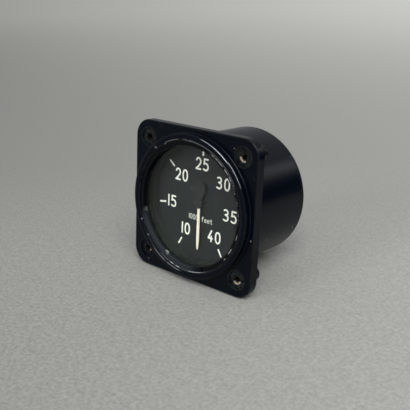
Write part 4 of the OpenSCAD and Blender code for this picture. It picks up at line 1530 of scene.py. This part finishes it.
@dataclass
class CaseShell(Assembly):
    """The case, its inserts, rear cover and static port."""

    title: ClassVar[str] = "case"
    insert_span: Point = (1.2, 14.2)
    insert_pitch: float = 0.8
    insert_ridge: float = 0.16
    port_height: float = MOUNTS["static_port"]["pos_m"][2] / MM
    port_span: Point = (52.2, 58.7)
    port_pitch: float = 0.94
    port_ridge: float = 0.3

    def build(self) -> Dressed:
        """Winds the threads of the four inserts and of the port.

        Returns:
            Each thread with its finish.
        """
        made = []
        bore = MOUNTS["panel_holes"]["dims"]["hole_r_mm"]
        for side, across in (("left", -HOLE_OFFSET), ("right", HOLE_OFFSET)):
            for level, up in (("lower", -HOLE_OFFSET), ("upper", HOLE_OFFSET)):
                ridge = InnerThread((across, up), bore, self.insert_span, self.insert_pitch,
                                    self.insert_ridge)
                thread = ridge.build(f"insert_thread_{level}_{side}")
                made.append((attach(thread, "case"), INSERT))
        ridge = InnerThread((0.0, self.port_height), MOUNTS["static_port"]["dims"]["r_mm"], self.port_span,
                            self.port_pitch, self.port_ridge)
        thread = ridge.build("port_thread")
        made.append((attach(thread, "case"), BRASS))
        return made

    def coats(self) -> Coats:
        """Says which CAD nodes take which finish.

        Returns:
            The nodes that each finish goes on.
        """
        return {
            ENAMEL: ("case",),
            COVER_ENAMEL: ("rear_cover",),
            INSERT: ("threaded_inserts",),
            BLACK_STEEL: ("cover_screws", "movement_screws"),
            Metal("port_brass", colour=(0.50, 0.37, 0.17), centre=(0.0, self.port_height), tarnish_share=0.7):
                ("static_port",),
            Rubber("red_fibre", colour=(0.16, 0.035, 0.02), pore=(0.24, 0.09, 0.05)): ("port_washer",),
            Rubber("aged_black_rubber"): ("rear_gasket",),
        }


@dataclass
class GlazedFront(Assembly):
    """The retaining ring, the glass and its gasket."""

    title: ClassVar[str] = "glazing"
    ring_middle: float = 33.15
    ring_front: float = front_of("retaining_ring")

    def rubbed(self, out: float, *shape: float) -> Streak:
        """Gives a streak on the ring's front: how far outside its middle, then the streak's other values."""
        return Streak(self.ring_middle + out, self.ring_front, *shape)

    def coats(self) -> Coats:
        """Says which CAD nodes take which finish.

        Returns:
            The nodes that each finish goes on.
        """
        ring = WornRing(
            "worn_ring_black",
            streaks=(self.rubbed(0.15, 0.30, 42.0, 20.0, 0.55, 0.52),
                     self.rubbed(-0.35, 0.22, 76.0, 18.0, 0.8, 0.42),
                     self.rubbed(0.25, 0.17, 104.0, 3.0, 0.3, 0.56),
                     self.rubbed(-0.05, 0.32, 119.4, 3.4, 0.3, 0.75),
                     self.rubbed(0.2, 0.22, 129.3, 1.4, 0.3, 0.75)),
            dust_streaks=(self.rubbed(0.0, 3.0, 212.0, 48.0, 0.25, 0.72),),
            blotches=(Speck(-31.4, -1.3, -8.3, 1.8, 0.3), Speck(-14.6, -1.2, -28.5, 1.3),
                      Speck(-13.6, -2.2, -29.3, 0.9, 0.5)),
        )
        return {ring: ("retaining_ring",), Glass("cover_glass"): ("glass",),
                Rubber("glass_gasket_rubber"): ("glass_gasket",)}


@dataclass
class Dial(Assembly):
    """The dial plate, its painted markings and the stepped ring round it."""

    title: ClassVar[str] = "dial"
    tick_span: Point = (25.5, 30.1)
    tick_width: float = 1.0
    ticks: dict[str, float] = field(default_factory=lambda: {
        "10": 210.0, "15": 260.0, "20": 310.0, "25": 0.0, "30": 50.0, "35": 100.0, "40": 150.0})
    numbers: dict[str, Point] = field(default_factory=lambda: {
        "10": (19.2, 211.9), "15": (20.9, 261.4), "20": (19.2, 311.5), "25": (21.0, 358.8),
        "30": (19.35, 46.3), "35": (19.5, 97.8), "40": (18.9, 149.3)})
    digits: Lettering = Lettering(height=6.7, width=3.85, stroke=0.93, gap=1.2)
    legend: Lettering = Lettering(height=2.95, width=1.5, stroke=0.29, gap=0.5)
    legend_centre: Point = (0.0, -8.5)

    def build(self) -> Dressed:
        """Paints the marks, the numbers and the small unit line.

        Returns:
            Each marking with its paint.
        """
        brush = Brush(front_of("dial_plate"))
        paint = Paint("cream_marking_paint", colour=seen(248, 249, 238), drift=seen(234, 236, 221),
                      worn=seen(150, 148, 130), roughness=0.7, wear=0.4, dust_share=0.15)
        made = []
        for number, angle in self.ticks.items():
            spots = [on_dial(radius, angle) for radius in self.tick_span]
            slab = brush.slab(spots, self.tick_width, loop=False, round_ends=False, layer=0)
            made.append(brush.join(f"dial_mark_{number}", [slab]))
        for number, spot in self.numbers.items():
            made.append(brush.word(f"dial_number_{number}", number, self.digits, on_dial(*spot)))
        made.append(brush.word("dial_unit_line", "1000 feet", self.legend, Vector(self.legend_centre)))
        return [(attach(piece, "case"), paint) for piece in made]

    def coats(self) -> Coats:
        """Says which CAD nodes take which finish."""
        plate = DialPaint("dial_black", colour=(0.0052, 0.0086, 0.0094), drift=(0.0100, 0.0152, 0.0158))
        return {plate: ("dial_plate",), SteppedWall("dial_ring_grey"): ("dial_ring",)}


@dataclass
class Hand(Assembly):
    """The pointer and what turns with it."""

    title: ClassVar[str] = "hand"

    def coats(self) -> Coats:
        """Says which CAD nodes take which finish.

        Returns:
            The nodes that each finish goes on.
        """
        return {
            BladePaint("cream_pointer_paint", colour=seen(242, 235, 214), drift=seen(232, 222, 196),
                       worn=seen(180, 172, 140), roughness=0.6, wear=0.35, dust_share=0.1): ("pointer",),
            Paint("counterweight_black", colour=(0.012, 0.015, 0.014), drift=(0.018, 0.021, 0.019),
                  worn=(0.05, 0.05, 0.045)): ("pointer_counterweight",),
            Paint("hub_black", colour=(0.010, 0.012, 0.012), drift=(0.018, 0.02, 0.018),
                  roughness=0.45): ("pointer_hub",),
            STEEL: ("hand_staff",),
            BRASS: ("staff_pinion", "hairspring_collet"),
        }


@dataclass
class Movement(Assembly):
    """Plates, pillars, sector, rocking shaft and hairspring."""

    title: ClassVar[str] = "movement"

    def coats(self) -> Coats:
        """Says which CAD nodes take which finish.

        Returns:
            The nodes that each finish goes on.
        """
        across, _, up = (value / MM for value in JOINTS["sector_turn"]["pos_m"])
        return {
            PLATE: ("front_plate", "middle_plate", "base_plate", "sector_tail", "rocker_brackets"),
            BRASS: ("hairspring_stud", "front_pillars", "rear_pillars", "arm_collar", "drive_finger"),
            Metal("sector_brass", colour=(0.60, 0.45, 0.20), centre=(across, up)): ("toothed_sector",),
            Metal("bush_brass", colour=(0.66, 0.47, 0.20), roughness=0.22, tarnish_share=0.2):
                ("staff_bushes", "sector_bushes"),
            STEEL: ("sector_arbor", "banking_pins", "rocking_shaft", "arm_pin", "balance_weight"),
            BLACK_STEEL: ("front_plate_screws", "bracket_screws"),
            Metal("blued_spring_steel", colour=(0.10, 0.15, 0.30), tarnish=(0.08, 0.05, 0.09),
                  roughness=0.22): ("hairspring",),
            Bimetal("bonded_bimetal"): ("bimetal_arm",),
        }


@dataclass
class CapsuleStack(Assembly):
    """The two capsules, their boss, joint and stud, and the link."""

    title: ClassVar[str] = "capsules"

    def coats(self) -> Coats:
        """Says which CAD nodes take which finish.

        Returns:
            The nodes that each finish goes on.
        """
        return {
            Metal("capsule_bronze", colour=(0.56, 0.39, 0.20), tarnish=(0.26, 0.15, 0.08),
                  mark_scale=3.0, tarnish_share=0.6): ("front_capsule", "rear_capsule"),
            BRASS: ("link_fork", "capsule_boss", "capsule_joint", "capsule_nut"),
            STEEL: ("capsule_stud",),
        }


# Studio


@dataclass(frozen=True)
class Lamp:
    """One broad far lamp, so that the whole floor gets the same light."""

    name: str
    way: Triple
    degrees_wide: float
    strength: float

    def hang(self) -> None:
        """Adds the lamp to the scene, so that it shines from its way towards the object."""
        data = bpy.data.lights.new(self.name, "SUN")
        data.angle, data.energy = math.radians(self.degrees_wide), self.strength
        made = MeshBench.placed(self.name, data)
        made.matrix_world = Vector(self.way).normalized().to_track_quat("Z", "Y").to_matrix().to_4x4()
        log.info("studio: %s, %.0f degrees wide, strength %.2f", self.name, self.degrees_wide, self.strength)


@dataclass
class Studio:
    """Floor, lamps, black flag, world and camera."""

    lean: float = 6.32
    floor_reach: float = 4.0
    floor_cells: int = 24
    front_foot: Triple = (0.0, 4.65, -40.7)
    lens: float = 59.185
    sensor: float = 36.0
    clip: Point = (0.01, 50.0)
    eye: Triple = (217.88148, -250.98311, 101.69788)
    eye_right: Triple = (0.76005113, 0.64850062, 0.04206219)
    eye_up: Triple = (-0.21900847, 0.19466704, 0.95610671)
    eye_back: Triple = (0.61184767, -0.73590196, 0.28998403)
    lamps: tuple[Lamp, ...] = (
        Lamp("overhead_softbox", (0.46, -0.48, 0.75), 38.0, 1.84),
        Lamp("front_window", (-0.22, -0.92, 0.26), 20.0, 0.62),
        Lamp("rear_strip", (0.41, 0.81, 0.42), 12.0, 0.07),
    )
    room_low: Colour = (0.34, 0.35, 0.36)
    room_high: Colour = (0.44, 0.45, 0.46)
    flag_way: float = 56.0
    flag_distance: float = 0.30
    flag_size: Point = (0.42, 0.095)

    def lay(self, thing: bpy.types.Object, finish: Finish) -> None:
        """Lays a stage piece on the plane under the leaning object, and gives it its finish.

        Args:
            thing: the piece.
            finish: what it wears.
        """
        turn = Matrix.Rotation(math.radians(self.lean), 4, "X")
        thing.matrix_world = Matrix.Translation(Vector(self.front_foot) * MM) @ turn
        thing.data.materials.append(finish.material())
        log.info("studio: %s laid, wears %s", thing.name, finish.name)

    def floor(self) -> None:
        """Lays the paper floor under the flange's foot and the rear cover's edge."""
        work = bmesh.new()
        cells = self.floor_cells
        bmesh.ops.create_grid(work, x_segments=cells, y_segments=cells, size=self.floor_reach)
        mesh = bpy.data.meshes.new("floor_paper")
        work.to_mesh(mesh)
        work.free()
        floor = MeshBench.placed("floor_paper", mesh)
        self.lay(floor, StudioPaper("pale_paper"))

    def flag(self) -> None:
        """Stands a black flag behind the object's right side, seen only in its gloss."""
        turn = math.radians(self.flag_way)
        centre = Vector((math.cos(turn), math.sin(turn), 0)) * self.flag_distance
        across = Vector((-math.sin(turn), math.cos(turn), 0)) * self.flag_size[0] / 2
        up = Vector((0, 0, self.flag_size[1]))
        corners = [centre - across, centre + across, centre + across + up, centre - across + up]
        mesh = bpy.data.meshes.new("black_flag")
        mesh.from_pydata([tuple(corner) for corner in corners], [], [(0, 1, 2, 3)])
        flag = MeshBench.placed("black_flag", mesh)
        self.lay(flag, Rubber("black_flag_cloth", colour=(0.0, 0.0, 0.0), pore=(0.002, 0.002, 0.002),
                              roughness=0.9))
        flag.visible_camera = flag.visible_shadow = flag.visible_diffuse = False

    def world(self) -> None:
        """Fills the room with soft grey light that grows upwards."""
        world = bpy.data.worlds.new("studio_room")
        bpy.context.scene.world = world
        world.use_nodes = True
        world.node_tree.nodes.clear()
        sheet = Sheet(world.node_tree)
        up = sheet.parts(sheet.node("ShaderNodeTexCoord").outputs["Generated"])[2]
        room = sheet.blend(sheet.rise(up, 0.0, 0.9), self.room_low, self.room_high)
        lit = sheet.node("ShaderNodeBackground", {"Color": room, "Strength": 1.0})
        sheet.node("ShaderNodeOutputWorld", {"Surface": lit.outputs[0]})

    def camera(self) -> None:
        """Sets the camera where the photograph was taken from."""
        data = bpy.data.cameras.new("photo_camera")
        data.lens, data.sensor_width, data.sensor_fit = self.lens, self.sensor, "HORIZONTAL"
        data.clip_start, data.clip_end = self.clip
        made = MeshBench.placed("photo_camera", data)
        turn = Matrix((self.eye_right, self.eye_up, self.eye_back)).transposed().to_4x4()
        made.matrix_world = Matrix.Translation(Vector(self.eye) * MM) @ turn
        bpy.context.scene.camera = made

    def build(self) -> None:
        """Sets up the whole studio."""
        bpy.context.scene.view_settings.view_transform = "Standard"
        self.floor()
        self.world()
        self.flag()
        for lamp in self.lamps:
            lamp.hang()
        self.camera()


def clear_strays() -> None:
    """Takes away whatever Blender's own start file holds, so that only the frame is left."""
    kept = {*frame["nodes"].values(), *frame["bodies"].values()}
    for stray in [thing for thing in bpy.data.objects if thing not in kept]:
        bpy.data.objects.remove(stray)


def main() -> None:
    """Dresses every sub-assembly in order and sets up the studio."""
    logging.basicConfig(level=logging.INFO, format="%(message)s")
    clear_strays()
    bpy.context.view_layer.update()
    for assembly in (CaseShell(), GlazedFront(), Dial(), Hand(), Movement(), CapsuleStack()):
        assembly.dress()
    Studio().build()


if __name__ == "__main__":
    main()
